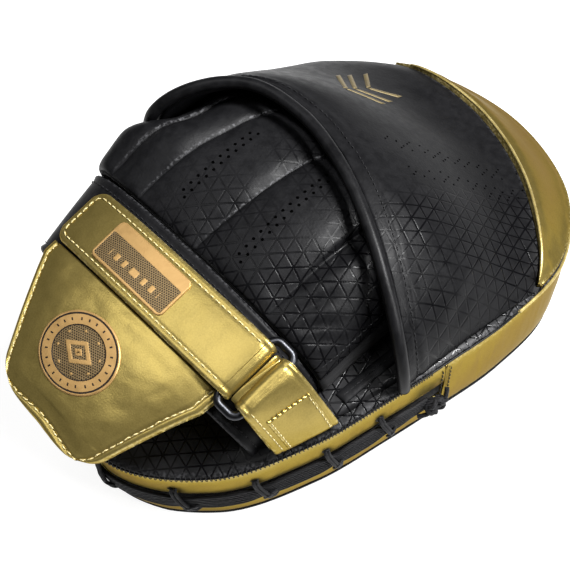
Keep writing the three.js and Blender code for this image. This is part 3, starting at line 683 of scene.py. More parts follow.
# ---------------------------------------------------------------- camera, light, floor
AZ, EL, AWAY = math.radians(-43.5), math.radians(59.29), 0.75834
target = Vector((np.array([-18.96, 2.04, 60 - REST]) + ORIGIN * [1, 1, 0]) * MM)
back = Vector((math.sin(AZ) * math.cos(EL), -math.cos(AZ) * math.cos(EL), math.sin(EL)))
cam = bpy.data.objects.new("camera", bpy.data.cameras.new("camera"))
bpy.context.scene.collection.objects.link(cam)
cam.location = target + back * AWAY
cam.rotation_mode = "QUATERNION"
cam.rotation_quaternion = (-back).to_track_quat("-Z", "Y")
cam.data.sensor_width, cam.data.lens = 36, 102.0
cam.data.clip_start, cam.data.clip_end = 0.01, 50
bpy.context.scene.camera = cam
bpy.context.scene.view_settings.view_transform = "Standard"


def lamp(name, place, size, watts, aim=(0, 0, 0.04)):
    data = bpy.data.lights.new(name, "AREA")
    data.energy, data.size = watts, size
    obj = bpy.data.objects.new(name, data)
    obj.location = place
    obj.rotation_mode = "QUATERNION"
    obj.rotation_quaternion = (Vector(aim) - Vector(place)).to_track_quat("-Z", "Y")
    bpy.context.scene.collection.objects.link(obj)


lamp("key", (0.40, -0.30, 1.24), 0.34, 42)
lamp("top", (-0.3, 0.42, 1.3), 0.6, 4)
lamp("front", (0.44, -1.08, 0.94), 0.6, 19)
world = bpy.data.worlds.new("studio")
world.use_nodes = True
world.node_tree.nodes["Background"].inputs["Color"].default_value = (1.0, 1.0, 1.0, 1)
world.node_tree.nodes["Background"].inputs["Strength"].default_value = 0.08
bpy.context.scene.world = world

floor_mesh = bpy.data.meshes.new("floor")
floor_corners = [(x * 4, y * 4, -0.0004) for x, y in ((-1, -1), (1, -1), (1, 1), (-1, 1))]
floor_mesh.from_pydata(floor_corners, [], [[0, 1, 2, 3]])
floor = bpy.data.objects.new("floor", floor_mesh)
bpy.context.scene.collection.objects.link(floor)
glowing_floor = Paint("pale_floor_painted_glow", Specular_IOR_Level=0.1)
glowing_floor.use("Base Color", glowing_floor.mix(glowing_floor.noise(3), (0.28, 0.28, 0.28), (0.3, 0.3, 0.3)))
# The floor glows: painted light, brightest round the middle and fading outwards, which also lights the mitt
# from below.
glowing_floor.skin.inputs["Emission Color"].default_value = (1, 1, 1, 1)
from_middle = glowing_floor.node("VectorMath", {"operation": "LENGTH"}, {0: glowing_floor.here}, out="Value")
glowing_floor.use("Emission Strength", glowing_floor.spread(from_middle, 0.21, 0.6, 0.9, 0.16))
glowing_floor.use("Roughness", glowing_floor.spread(glowing_floor.noise(60), 0.3, 0.7, 0.75, 0.85))
floor_mesh.materials.append(glowing_floor.mat)
floor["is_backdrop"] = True

for name, mat in (("gel_layer", GEL), ("foam_core", FOAM), ("backing_foam", FOAM)):
    slots = nodes[name].data.materials
    slots.clear()
    slots.append(mat)

# ---------------------------------------------------------------- pad: covers and rim
STEPS = 240
ROUND = np.linspace(0, 360, STEPS, endpoint=False)


def layer(profile, steps=STEPS):
    """Rings with the mitt's outline from rows of (share of the outline, inset, height)."""
    degrees = np.linspace(0, 360, steps, endpoint=False)
    e = edge(degrees)
    r = np.linalg.norm(e, axis=1)
    rows, flat = [], []
    for share, inset, w in profile:
        p = e * (share * (1 - inset / r))[:, None]
        rows.append(bend(p[:, 0], p[:, 1], w))
        flat.append(p)
    return np.array(rows), np.array(flat)


def corner(radius, inset, w, start, stop, count=6):
    """Rows round a rim corner of that radius; angles from straight down (-90) to straight up (90)."""
    return [(1, inset + radius * (1 - math.cos(math.radians(a))), w + radius * math.sin(math.radians(a)))
            for a in np.linspace(start, stop, count)]


inner_shares = [0.02, 0.15, 0.3, 0.45, 0.6, 0.72, 0.82, 0.9, 0.95]
top = [(s, 0, THICK - 0.05) for s in inner_shares] + [(1, 5.5, THICK - 0.1), (1, 4.2, THICK - 0.2)]
top += [(1, i, THICK - 0.2 - 1.3 * (1 - math.sqrt(1 - (1 - i / 3.4) ** 2)))
        for i in (3.2, 2.5, 1.8, 1.1, 0.6, 0.25, 0.05)]
top += [(1, 0.05, BACK_BASE + 0.6), (1, 0.4, BACK_BASE + 0.08), (1, 4, BACK_BASE + 0.05)]
top += [(s, 0, BACK_BASE + 0.05) for s in inner_shares[::-1]]
rows, flat = layer(top)
far_in = np.clip((1 - np.linalg.norm(flat, axis=2) / np.linalg.norm(edge(ROUND), axis=1)[None]) * 12, 0, 1)
# The back panel takes the lighter black copy: painted light.
put("back_cover", loft(rows), BLACK_LIT_PANEL, replaces=["back_panel"], slot="black_leatherette", uv=flat,
    pad=0.7, attrs={"lattice": np.ones(rows.shape[:2]), "wear": 1 - smooth(far_in, 0.02, 0.4)})

low = [(s, 0, STRIKE - 0.05) for s in inner_shares] + [(1, 3, STRIKE - 0.05)]
low += corner(1.25, 0.02, 1.32, 88, -88, 9) + [(1, 5, 0.04)] + [(s, 0, 0.02) for s in inner_shares[::-1]]
rows, flat = layer(low)
put("strike_skin", loft(rows), BLACK, replaces=["strike_cover"], slot="black_leatherette", uv=flat, pad=0.8,
    attrs={"lattice": 0.6 * np.ones(rows.shape[:2]), "wear": np.zeros(rows.shape[:2])})

low_w, high_w = -0.9 - GAP, -GAP
ring_rows = [(0.5, 0, high_w), (0.5, -0.3, low_w + 0.3), (0.505, 0, low_w), (0.56, 0, low_w - 0.1),
             (0.615, 0, low_w), (0.62, 0.3, low_w + 0.3), (0.62, 0, high_w)]
put("target_band", loft(layer(ring_rows, 160)[0].transpose(1, 0, 2), closed=True), GOLD,
    replaces=["target_ring"], slot="gold_leatherette")
spot_rows = [(0.02, 0, high_w), (0.245, 0, high_w), (0.25, 0, low_w + 0.3), (0.24, 0, low_w),
             (0.02, 0, low_w - 0.1)]
put("target_dot", loft(layer(spot_rows, 160)[0]), GOLD, replaces=["target_spot"], slot="gold_leatherette")


def wall(low, high, start, stop, steps, bulge, seed, inset=0.0, ties=()):
    """Band of the edge wall: a sewn panel that bellies a little between its two seams."""
    degrees = np.linspace(start, stop, steps)
    c = eased(13, 0.7)
    pinch = sum(np.exp(-((degrees - t) / 1.3) ** 2) for t in ties) if len(ties) else np.zeros(steps)
    loops = []
    for k, share in enumerate(c):
        w = lerp(low, high, share)
        from_seam = min(share, 1 - share) * (high - low)
        out = bulge * (1 - abs(2 * share - 1) ** 3) - 0.75 * (1 - rolled(from_seam, 1.3))
        arc = degrees * 1.9
        out = out + 0.3 * noise2(arc / 9, np.full(steps, w / 16), seed) * (1 - abs(2 * share - 1) ** 4)
        out = out + 0.22 * noise2(arc / 2.6, np.full(steps, w / 22), seed + 5) * (1 - abs(2 * share - 1) ** 2)
        out = out - 0.9 * pinch * math.exp(-((w - low - 5.0) / 3.0) ** 2)
        p = rim(degrees, out - inset)
        loops.append(bend(p[:, 0], p[:, 1], w))
    for w in (high, low):
        p = rim(degrees, -SKIN)
        loops.append(bend(p[:, 0], p[:, 1], w))
    ring = np.array(loops).transpose(1, 0, 2)
    wear = np.tile(np.concatenate([1 - smooth(np.minimum(c, 1 - c), 0.0, 0.14), [0, 0]]), (steps, 1))
    return loft(ring), wear


TIES = [360 - LACE_FROM - 10 - i * (360 - 2 * LACE_FROM - 20) / 8 for i in range(9)]
wall_low, wall_high = STRIKE + 1.25, BACK_BASE - GAP
heel = (TIP_START, 360 - TIP_START)
for name, bottom, upper_w, start, stop, steps, bulge, seed, fill, ties in (
        ("tip", wall_low, wall_high, -TIP_START + 0.3, TIP_START - 0.3, 300, 1.0, 3, 0.6, ()),
        ("upper", LACE_BAND[1], wall_high, *heel, 420, 0.8, 11, 0.5, [t - 2.2 for t in TIES]),
        ("lower", wall_low, LACE_BAND[0], *heel, 420, 0.6, 17, 0.5, ())):
    shape, wear = wall(bottom, upper_w, start, stop, steps, bulge, seed, ties=ties)
    put("edge_panel_" + name, shape, GOLD, replaces=["gusset_" + name], slot="gold_leatherette", pad=fill,
        attrs={"wear": wear})
shape, _ = wall(LACE_BAND[0] + 0.4, LACE_BAND[1] - 0.4, *heel, 220, 0.0, 2, inset=1.3)
put("lace_gutter", shape, LINER, replaces=["lace_channel"], slot="liner_fabric")


def along_rim(start, stop, count, out, w):
    degrees = np.linspace(start, stop, count)
    p = rim(degrees, out)
    return bend(p[:, 0], p[:, 1], w)


def outward(start, stop, count):
    """Directions straight out of the edge wall."""
    a, b = along_rim(start, stop, count, 0, 24), along_rim(start, stop, count, 1, 24)
    return b - a


# welt: gold round the fingertips, black round the heel, whip-stitched
put("welt_tip", tube(along_rim(-64, 46, 260, 0.55, BACK_BASE + 1.0), 0.8, 8), GOLD_EDGE,
    slot="gold_leatherette")
put("welt_heel", tube(along_rim(46.4, 295.6, 560, 0.35, BACK_BASE + 1.1), 0.5, 8), BLACK_TRIM,
    replaces=["edge_welt"], slot="black_leatherette")
whips = []
for d in np.arange(96, 264, 0.95):
    line = [along_rim(d + s * 0.12, d + s * 0.12 + 1, 2, o, w)[0]
            for s, o, w in ((-1, -0.2, BACK_BASE + 2.3), (-0.4, 0.65, BACK_BASE + 1.6),
                            (0, 0.95, BACK_BASE + 0.7), (0.5, 0.8, BACK_BASE - 0.6),
                            (1, 0.35, BACK_BASE - 1.6))]
    whips.append(tube(line, 0.22, 5))
put("welt_stitches", whips, BLACK_THREAD, slot="black_cord")

# joins of the tall fingertip panel and the laced bands: a folded lip and a line of stitches
for side, name in ((-1, "near"), (1, "far")):
    w = np.linspace(wall_low + 0.6, wall_high - 0.4, 26)
    p = rim(np.full(26, side * TIP_START), 0.7)
    lip, sews = tube(bend(p[:, 0], p[:, 1], w), 0.55, 8), []
    for d in (side * 89.4, side * 92.4):
        p, q = rim(np.full(26, d), 0.95), rim(np.full(26, d), 1.95)
        line = bend(p[:, 0], p[:, 1], w)
        sews += stitches(line, bend(q[:, 0], q[:, 1], w) - line, 2.3, 3.4, 0.26)
    put("side_lip_" + name, lip, GOLD, slot="gold_leatherette")
    put("side_stitches_" + name, sews, BLACK_THREAD, slot="gold_leatherette")

# ---------------------------------------------------------------- lacing
LACE_MIDDLE = sum(LACE_BAND) / 2
degrees = np.linspace(LACE_FROM - 5, 360 - LACE_FROM + 5, 420)
pinch = sum(np.exp(-((degrees - t) / 2.6) ** 2) for t in TIES)
pinch = pinch + smooth(degrees, 250, 257)
pinch = np.minimum(pinch, 1)
for i in range(6):
    w = LACE_MIDDLE + (i - 2.5) * 2.22 * (1 - 0.3 * pinch) + 0.16 * noise2(degrees / 6, i + 0.5, 4)
    out = 1.75 + 0.16 * noise2(degrees / 5, i * 3.3, 8) + 0.5 * pinch * (1 - abs(i - 2.5) / 2.5)
    p = rim(degrees, out)
    put(f"lace_strand_{i + 1}", tube(bend(p[:, 0], p[:, 1], w), 0.98, 10), CORD,
        replaces=[f"lace_cord_{i + 1}"] if i < 4 else [], slot="black_cord")


def rim_point(d, out, w):
    p = rim(np.array([float(d)]), out)
    return bend(p[:, 0], p[:, 1], w)[0]


holes = []
for i, d in enumerate(TIES):
    high, low_hole = LACE_BAND[1] + 6.3, LACE_BAND[0] - 2.4
    parts = []
    for shift, thick in ((0.0, 1.0), (0.75, 0.8)):
        line = [rim_point(d + a + shift, o, w) for a, o, w in (
            (-2.5, 0.0, high + 0.4), (-2.25, 1.9, high - 1.0), (-1.6, 3.0, LACE_BAND[1] + 1.5),
            (-0.7, 4.1, LACE_BAND[1] - 2), (0.2, 4.5, LACE_MIDDLE), (0.9, 4.0, LACE_BAND[0] + 2.0),
            (1.4, 2.6, LACE_BAND[0] - 0.6), (1.7, 0.6, low_hole))]
        parts.append(tube(catmull(line, 26)[0], thick, 7, twist=0.5, lobes=0.06))
    hook = [rim_point(d + a, o, w) for a, o, w in (
        (0.3, 1.2, LACE_BAND[0] + 0.5), (1.6, 3.4, LACE_BAND[0] + 2.6), (2.4, 3.6, LACE_BAND[0] + 5.2),
        (1.3, 4.9, LACE_BAND[0] + 6.0), (0.2, 4.8, LACE_BAND[0] + 4.4), (-0.2, 3.6, LACE_BAND[0] + 1.6))]
    parts.append(tube(catmull(hook, 22)[0], 0.75, 6))
    put(f"lace_loop_{i + 1}", parts, CORD, replaces=[f"lace_tie_{i + 1}"], slot="black_cord")
    c, q = rim_point(d - 2.45, 0.95, high), rim_point(d - 2.45, 1.95, high)
    n = (q - c) / np.linalg.norm(q - c)
    e1 = np.cross(n, [0, 0, 1.0])
    e1 /= np.linalg.norm(e1)
    e2 = np.cross(e1, n)
    a = np.linspace(0, 2 * np.pi, 14, endpoint=False)
    rings = [[c + n * z + (e1 * math.cos(t) * 1.15 + e2 * math.sin(t)) * r for t in a]
             for r, z in ((1.5, -0.6), (1.75, 0.05), (1.5, 0.16), (1.0, 0.05), (0.3, -0.3))]
    holes.append(loft(rings))
put("lace_holes", holes, BLACK_TRIM, slot="black_leatherette")

knot_d = 360 - LACE_FROM + 7
knot = []
for k, (turn, size, lean) in enumerate(((0, 1.0, 0.5), (35, 0.85, -0.6), (-40, 0.9, 0.2), (80, 0.7, 0.9))):
    a = np.linspace(0, 2 * np.pi, 34, endpoint=False)
    th = math.radians(turn)
    x = 5.4 * size * np.cos(a)
    y = 3.4 * size * np.sin(a)
    px, py = x * math.cos(th) - y * math.sin(th), x * math.sin(th) + y * math.cos(th)
    out = 4.4 + 1.6 * np.sin(a * 2 + k) + lean
    line = np.array([rim_point(knot_d + px[j] / 1.62, out[j], LACE_MIDDLE + py[j]) for j in range(34)])
    knot.append(tube(line, 1.15, 8, closed=True, twist=0.4, lobes=0.05))
for a1, w1 in ((-6.0, -3.0), (4.6, 4.5)):
    line = [rim_point(knot_d, 5.6, LACE_MIDDLE), rim_point(knot_d + a1 * 0.4, 6.2, LACE_MIDDLE + w1 * 0.4),
            rim_point(knot_d + a1 * 0.75, 5.0, LACE_MIDDLE + w1),
            rim_point(knot_d + a1, 3.4, LACE_MIDDLE + w1 * 1.5)]
    knot.append(tube(catmull(line, 24)[0], 1.1, 8, twist=0.4, lobes=0.05))
core = [rim_point(knot_d - 3.2, 2.4, LACE_MIDDLE), rim_point(knot_d - 1.5, 4.0, LACE_MIDDLE + 0.5),
        rim_point(knot_d + 1.0, 4.2, LACE_MIDDLE - 0.6), rim_point(knot_d + 3.0, 2.6, LACE_MIDDLE)]
knot.append(tube(catmull(core, 18)[0], [1.5] + [2.6] * 16 + [1.4], 9))
put("lace_tied_end", knot, CORD, replaces=["lace_knot"], slot="black_cord")

# ---------------------------------------------------------------- finger cover
lining_u = np.linspace(COVER_U[0], COVER_U[1], 40)[:, None]
section = cover_section(lining_u)
run = np.linspace(0, 1, 90)[None, :]
grids = []
for off in (-0.05, -2.15):
    v, h = arch(run, off=off, **section)
    grids.append(over(lining_u + 0 * v, v, h + GAP))
put("cover_lining", shell(*grids), LINER, replaces=["finger_cover"], slot="liner_fabric")


def place(section, v):
    squeeze = (section["far"] - section["near"]) / 139
    return (section["far"] + section["near"]) / 2 + (v - 15) * squeeze


u = lerp(COVER_U[0] + 0.3, COVER_U[1] - 5.5, eased(84, 0.35))[:, None]
section = cover_section(u)
section["far"] = 92 - 14 * smooth(u, -34, -10) - 26 * smooth(u, -5, 84)
sides = {k: section[k] for k in ("near", "far", "power")}
guide = dict(near=section["near"], far=87 - 9 * smooth(u, -60, 20) - 26 * smooth(u, -5, 84))


def even_runs(first, last, shares):
    """Runs at even shares of the arc length between two places across the mitt, row by row."""
    out = []
    for i in range(len(u)):
        one = {k: (float(np.broadcast_to(x, u.shape)[i, 0])) for k, x in sides.items()}
        a, b = float(first[i, 0]), float(last[i, 0])
        r = np.sort(np.concatenate([run_for(np.linspace(a, b, 260), **one),
                                    np.linspace(run_for(a, **one), run_for(b, **one), 260)]))
        pv, ph = arch(r, height=float(np.broadcast_to(section["height"], u.shape)[i, 0]), **one)
        far_along = np.concatenate([[0], np.cumsum(np.hypot(np.diff(pv), np.diff(ph)))])
        out.append(np.interp(shares * far_along[-1], far_along, r))
    return np.array(out)


cols, locals_, seam_cols = [], [], []
for k, begin in enumerate(CHANNELS):
    start = place(guide, begin) + (0.3 if k == 0 else 0)
    stop = section["far"] - 0.6 if k == len(CHANNELS) - 1 else place(guide, CHANNELS[k + 1])
    count = (30, 36, 32, 22, 22)[k]
    t = eased(count, 0.75)
    if k:
        t = t[1:]
    seam_cols.append(len(cols))
    cols.extend(even_runs(start + 0 * u, stop + 0 * u, t).T[:, :, None])
    locals_.extend(t)
seam_cols.append(len(cols) - 1)
run = np.concatenate(cols, axis=1)
t = np.array(locals_)[None, :]
a = eased(84, 0.35)[:, None]
belly = (1 - np.abs(2 * t - 1) ** 2.3) ** 0.62
tall = np.repeat([3.8, 3.0, 2.4, 2.3, 3.2], [30, 35, 31, 21, 21])[None, :]
crown = 0.35 + tall * belly * (1 - 0.5 * np.abs(2 * a - 1) ** 5)
v_base = arch(run, off=0.0 * a, **section)[0]
crown = crown + 3.0 * smooth(v_base, 40, 70) * smooth(a, 0.0, 0.25) * (1 - 0.8 * smooth(u, -18, 0))
crown = crown * (0.25 + 0.75 * rolled(np.minimum(a, 1 - a) * 120, 5))
v, h = arch(run, off=2 * GAP + crown, **section)
quilt = over(u + 0 * v, v, h + GAP)
v0, h0 = arch(run, off=0.2, **section)
quilt_back = over(u + 0 * v0, v0, h0 + GAP)
arc = lengths(over(u + 0 * v0, v0, h0), 1)
pins = np.zeros(quilt.shape[:2])
pins[:, seam_cols] = 1
pins[[0, -1]] = 1
pins[[1, -2]] = 0.5
quilt = inflate(quilt, pins, pressure=4.0, grow=0.006, frames_run=16, cap=1.0, stiff=14, settle=5)


def creases(points, u, v, rows):
    """Pushes a surface in or out along soft creases: rows of (u0, v0, u1, v1, width, depth)."""
    shift = np.zeros(points.shape[:2])
    for u0, v0, u1, v1, width, depth in rows:
        d = np.array([u1 - u0, v1 - v0])
        s = np.clip(((u - u0) * d[0] + (v - v0) * d[1]) / (d @ d), 0, 1)
        away = np.hypot(u - (u0 + s * d[0]), v - (v0 + s * d[1]))
        taper = np.sin(np.pi * np.clip(s, 0.02, 0.98)) ** 0.6
        shift += depth * taper * np.exp(-(away / width) ** 2)
    return points + normals(points) * shift[..., None]


gu, gv = np.broadcast_to(u, quilt.shape[:2]), v
quilt = creases(quilt, gu, gv, [
    (-48, -30, -24, -38, 1.6, -1.9), (-47, -36, -30, -47, 1.5, -1.7), (-46, -43, -34, -52, 1.3, -1.3),
    (-40, -26, -16, -30, 2.4, 0.7), (-38, -40, -22, -47, 2.2, 0.8), (-12, -24, 4, -36, 1.8, -0.5)])
fine = 0.12 * noise2(gu / 16, arc / 11, 21) + 0.025 * noise2(gu / 4, arc / 4, 22)
quilt = quilt + normals(quilt) * (fine * (0.3 + 0.7 * belly))[..., None]
lattice = np.clip(smooth(-gu, 8, 30) * (0.85 - 0.7 * smooth(v, 30, 55)) + 0.9 * smooth(-v, 12, 30)
                  + 0.5 * smooth(gu, -12, 4) * (1 - smooth(v, 20, 45)), 0, 1)
flat = np.stack([gu, arc - arc[:, [seam_cols[1]]] + CHANNELS[1]], -1)
# Painted highlight: a thin lighter line just past three of the pad seams, carried on the "wear" attribute.
seam_shine = 0 * arc
fade = np.sin(np.pi * np.clip(a * 0.9 + 0.02, 0, 1))
for k in seam_cols[2:5]:
    seam_shine += 2.6 * np.exp(-((arc - arc[:, [k]] - 0.45) / 0.33) ** 2) * fade
from_seam = arc - arc[:, [seam_cols[1]]]
valley = -1.5 * np.exp(-((from_seam + 2.6) / 3.0) ** 2) + 0.55 * np.exp(-((from_seam - 2.6) / 1.8) ** 2)
valley = valley * np.sin(np.pi * a) ** 0.5
quilt = quilt + normals(quilt) * valley[..., None]
put("quilted_cover", shell(quilt, quilt_back), BLACK, replaces=[f"finger_pad_{k}" for k in range(1, 6)],
    slot="black_leatherette", pad=0.75, uv=np.concatenate([flat.reshape(-1, 2)] * 2),
    attrs={"lattice": both(lattice), "wear": both(seam_shine)})


def tree_of(grid):
    m, n = grid.shape[:2]
    return BVHTree.FromPolygons(grid.reshape(-1, 3).tolist(), quads(m, n))


def drop(tree, start, direction, lift=0.0):
    """Where a ray meets a surface, and the surface's normal there."""
    hit, normal, _, _ = tree.ray_cast(Vector(start), Vector(direction).normalized())
    if hit is None:
        return None, None
    n = np.array(normal)
    if n @ np.asarray(direction) > 0:
        n = -n
    return np.array(hit) + n * lift, n


def vents(tree, spots, radius=0.8):
    """Punched vent holes: a pressed rim round a flat centre, at (along, across) spots; the near-black put on
    them is painted shade for the hole's depth.
    """
    parts = []
    for pu, pv in spots:
        aim = over(pu, pv, 0.0) - over(pu, pv, 90.0)
        c, n = drop(tree, over(pu, pv, 90.0), aim)
        if c is None:
            continue
        e1 = np.cross(n, [0, 1.0, 0])
        e1 /= np.linalg.norm(e1)
        e2 = np.cross(n, e1)
        a = np.linspace(0, 2 * np.pi, 12, endpoint=False)
        parts.append(loft([[c + n * z + (e1 * math.cos(t) + e2 * math.sin(t)) * r for t in a]
                           for r, z in ((radius, -0.3), (radius, 0.08), (radius * 0.9, 0.11),
                                        (radius * 0.72, 0.07), (radius * 0.2, 0.06))]))
    return parts


quilt_tree = tree_of(quilt)
line = quilt[3:-16, 7]
put("flap_stitches", stitches(line, normals(quilt)[3:-16, 7], 2.4, 3.4, 0.24), BLACK_THREAD,
    slot="black_cord")
spots = [(pu, 2.6 + (1.6 if k % 2 else -1.6) + 0.02 * (pu + 18))
         for k, pu in enumerate(np.arange(-42, 9, 2.0))]
spots += [(pu, 43.5 + (1.5 if k % 2 else -1.5)) for k, pu in enumerate(np.arange(-38, 4, 2.0))]
put("cover_vents", vents(quilt_tree, spots, 0.75), HOLE_SHADE, slot="black_leatherette")

# ---------------------------------------------------------------- wrist band and pocket
u = lerp(BAND_U[0], BAND_U[1], eased(26, 0.7))[:, None]
section = band_section(u)
run = eased(150, 0.3)[None, :]
d = np.minimum(u - BAND_U[0], BAND_U[1] - u)
lift = 0.1 * rolled(d, 1.2) + 0.55 * np.exp(-((d - 1.6) / 1.1) ** 2) - 0.35 * np.exp(-((d - 4.2) / 0.5) ** 2)
grids = []
for off in (lift - 0.15 * (1 - rolled(d, 1.2)) * 6, -SKIN + 0.1 + 0.0 * d):
    v, h = arch(run, off=off, **section)
    grids.append(over(u + 0 * v, v, h + GAP))
v0 = arch(run, off=0 * d, **section)[0]
arc = lengths(grids[0], 1)
flat = np.stack([u + 0 * v0, arc - arc[:, [60]]], -1).reshape(-1, 2)
put("wrist_band_cover", shell(*grids), BLACK, replaces=["wrist_band"], slot="black_leatherette", pad=0.3,
    uv=np.concatenate([flat] * 2), attrs={"wear": both((1 - smooth(d, 0, 1.6)) + 0 * v0)})
sews = []
for at, side in ((BAND_U[0] + 4.2, -1), (BAND_U[1] - 4.2, 1)):
    s = band_section(np.array([at]))
    v, h = arch(np.linspace(0.02, 0.98, 160), off=0.15, **s)
    v2, h2 = arch(np.linspace(0.02, 0.98, 160), off=1.15, **s)
    line = over(at, v, h + GAP)
    sews += stitches(line, over(at, v2, h2 + GAP) - line, 2.4, 3.4, 0.24)
put("wrist_band_stitches", sews, BLACK_THREAD, slot="black_cord")

u = np.linspace(STRAP_U[0] + 2, STRAP_U[1] - 2, 30)[:, None]
v = np.linspace(4, STRAP_END - 3, 90)[None, :]
nap = 0.12 * np.sin(u * 4.2) * np.sin(v * 4.2)
put("loop_pile", shell(over(u + 0 * v, v + 0 * u, wrist_arch(v, 1.3) + nap + GAP),
                       over(u + 0 * v, v + 0 * u, wrist_arch(v, 0.75) + 0 * u + GAP)), LINER,
    replaces=["loop_patch"], slot="liner_fabric")

a = eased(60, 0.5)[:, None]
b = eased(14, 0.7)[None, :]
u = lerp(-48, 8, a)
v = lerp(-67, -60.5, b) - 3 * a
d = np.minimum(np.minimum(b, 1 - b) * 6.5, np.minimum(a, 1 - a) * 56)
grids = [over(u + 0 * v, v, GAP + 0.05 + 0.75 * rolled(d, 2.4) + 0.1 * noise2(u / 4 + 0 * v, v / 3, 3)),
         over(u + 0 * v, v, GAP + 0 * v)]
put("side_binding_tape", shell(*grids), BLACK, replaces=["side_binding"], slot="black_leatherette")
line = over(np.linspace(-46, 7, 70), lerp(-67, -60.5, 0.5) - 3 * np.linspace(0.03, 0.98, 70), GAP + 0.8)
put("side_binding_stitches", stitches(line, over(0, 0, 9) - over(0, 0, 8), 2.4, 3.3, 0.24), BLACK_THREAD,
    slot="black_cord")

a, b = eased(60, 0.3)[:, None], eased(60, 0.3)[None, :]
u = lerp(-48, 62, a)
v = lerp(-44, 66, b) * (1 - 0.25 * a * a)
d = np.minimum(np.minimum(b, 1 - b) * 110, np.minimum(a, 1 - a) * 110)
rise = 1.2 * rolled(d, 1.2) + 0.05 * noise2(u / 9 + 0 * v, v / 9, 5)
put("pocket_cloth", shell(over(u + 0 * v, v, GAP + rise), over(u + 0 * v, v, GAP + 0 * v)), LINER,
    replaces=["pocket_lining"], slot="liner_fabric")
rad = np.linspace(0.03, 1, 22)[:, None]
turn = np.linspace(0, 2 * np.pi, 64, endpoint=False)[None, :]
dome = over(4 + 24 * rad * np.sin(turn), 10 + 34 * rad * np.cos(turn),
            1.2 + 2 * GAP + 11 * np.sqrt(np.maximum(1 - rad**2.2, 0)) + 0 * turn + 0.15 * np.sin(rad * 40))
flat = np.stack([24 * rad * np.sin(turn), 34 * rad * np.cos(turn)], -1)
under = over(4 + 24 * 0.03 * np.sin(turn), 10 + 34 * 0.03 * np.cos(turn), 1.3 + 2 * GAP + 0 * turn)
put("palm_dome", loft(np.concatenate([dome, under])), BLACK, replaces=["palm_grip"],
    slot="black_leatherette", pad=1.0, uv=np.concatenate([flat, flat[:1]]),
    attrs={"lattice": np.ones((23, 64))})

# ---------------------------------------------------------------- hood
t = eased(64, 0.25)[:, None] * 0.985
run = eased(170, 0.25)[None, :]
u, v, h = hood_point(t, run, -0.2)
hood = over(u, v, h + GAP)
ui, vi, hi = hood_point(t, run, -HOOD_SHELL)
hood_back = over(ui, vi, hi + GAP)
arc_t, arc_r = lengths(hood, 0), lengths(hood, 1)
pins = np.zeros(hood.shape[:2])
pins[[0, 1, -1, -2]] = 1
pins[:, [0, 1, -1, -2]] = 1
hood = inflate(hood, pins, pressure=1.5, grow=0.001, frames_run=14, cap=0.8, stiff=20, settle=14)
from_side = np.minimum(arc_r, arc_r[:, -1:] - arc_r)
soft = rolled(arc_t, 26) * rolled(arc_t[-1:] - arc_t, 14) * rolled(from_side, 14)
hood = hood + normals(hood) * (
    0.3 * noise2(arc_t / 34, arc_r / 40, 31) * soft + 0.03 * noise2(arc_t / 6, arc_r / 7, 32) * soft
    - 0.55 * np.exp(-((arc_t - 6.2) / 0.7) ** 2) + 0.3 * np.exp(-((arc_t - 9.5) / 2.4) ** 2))[..., None]
hood = creases(hood, u, v, [(2, -79, 26, -73, 2.2, -0.5), (10, -68, 40, -66, 3.0, 0.4),
                            (96, -52, 80, -58, 2.0, -0.35), (104, -30, 92, -24, 2.4, -0.25)])
lattice = smooth(-v - 0.27 * (u - 39), 24, 42) * (0.45 + 0.55 * smooth(arc_t, 4, 22))
flat = np.stack([u, v + 0.35 * np.sign(v) * (HOOD - h)], -1)
wear = (1 - smooth(arc_t[-1:] - arc_t, 0, 1.5)) * 0.8
put("hood_cover", shell(hood, hood_back), BLACK, replaces=["hood_shell"], slot="black_leatherette", pad=0.5,
    uv=np.concatenate([flat.reshape(-1, 2)] * 2),
    attrs={"lattice": both(lattice), "wear": both(wear)})
hood_tree = tree_of(hood)
row = int(np.argmin(np.abs(arc_t[:, 85] - 6.2)))
line, up = hood[row], normals(hood)[row]
put("hood_stitches", stitches(line + up * 0.15, up, 2.2, 3.2, 0.24), BLACK_THREAD, slot="black_cord")

pu, pv, ph = hood_point(0, np.linspace(0, 1, 200), 0)
line = over(pu - PIPING / 2 - 0.5, pv, ph + GAP + 1.2)
even = resample(line, 1.1)
size = PIPING / 2 * (1 + 0.02 * noise2(np.arange(len(even)) / 7, np.zeros(len(even)), 3))
put("hood_edge_piping", tube(even, size, 20), BLACK_TRIM, replaces=["hood_piping"], slot="black_leatherette",
    pad=1.0)

spots = []
for start_u, stop_u, start_v, slope in ((38, 94, -1, -0.72), (34, 88, -20, -0.6)):
    for k, pu in enumerate(np.arange(start_u, stop_u, 2.1)):
        pv = start_v + slope * (pu - start_u)
        spots += [(pu, pv + (1.1 if k % 2 else -1.1)), (pu + 1.2, pv + 4.6 + (1.1 if k % 2 else -1.1))]
keep = [s for k, s in enumerate(spots) if math.sin(k * 12.9898) * 43758.5 % 1 > 0.3]
put("hood_vents", vents(hood_tree, keep, 0.5), HOLE_SHADE, slot="black_leatherette")

# three plain chevrons in dull gold
marks = []
for shift in (0, 7, 17):
    for side in (-1, 1):
        spine = [(54 + shift + 11 * s, 42 + side * (15 - 0.2 * shift) * s) for s in np.linspace(0.03, 1, 12)]
        grid = []
        for k in (-1.4, 1.4):
            grid.append([drop(hood_tree, over(a + k, b, 90), over(a, b, 0) - over(a, b, 90), 0.10)[0]
                         for a, b in spine])
        low = [[p - np.array([0, 0, 0.12]) for p in r] for r in grid]
        marks.append(shell(np.array(grid), np.array(low)))
put("hood_chevrons", marks, EMBLEM, slot="gold_leatherette")

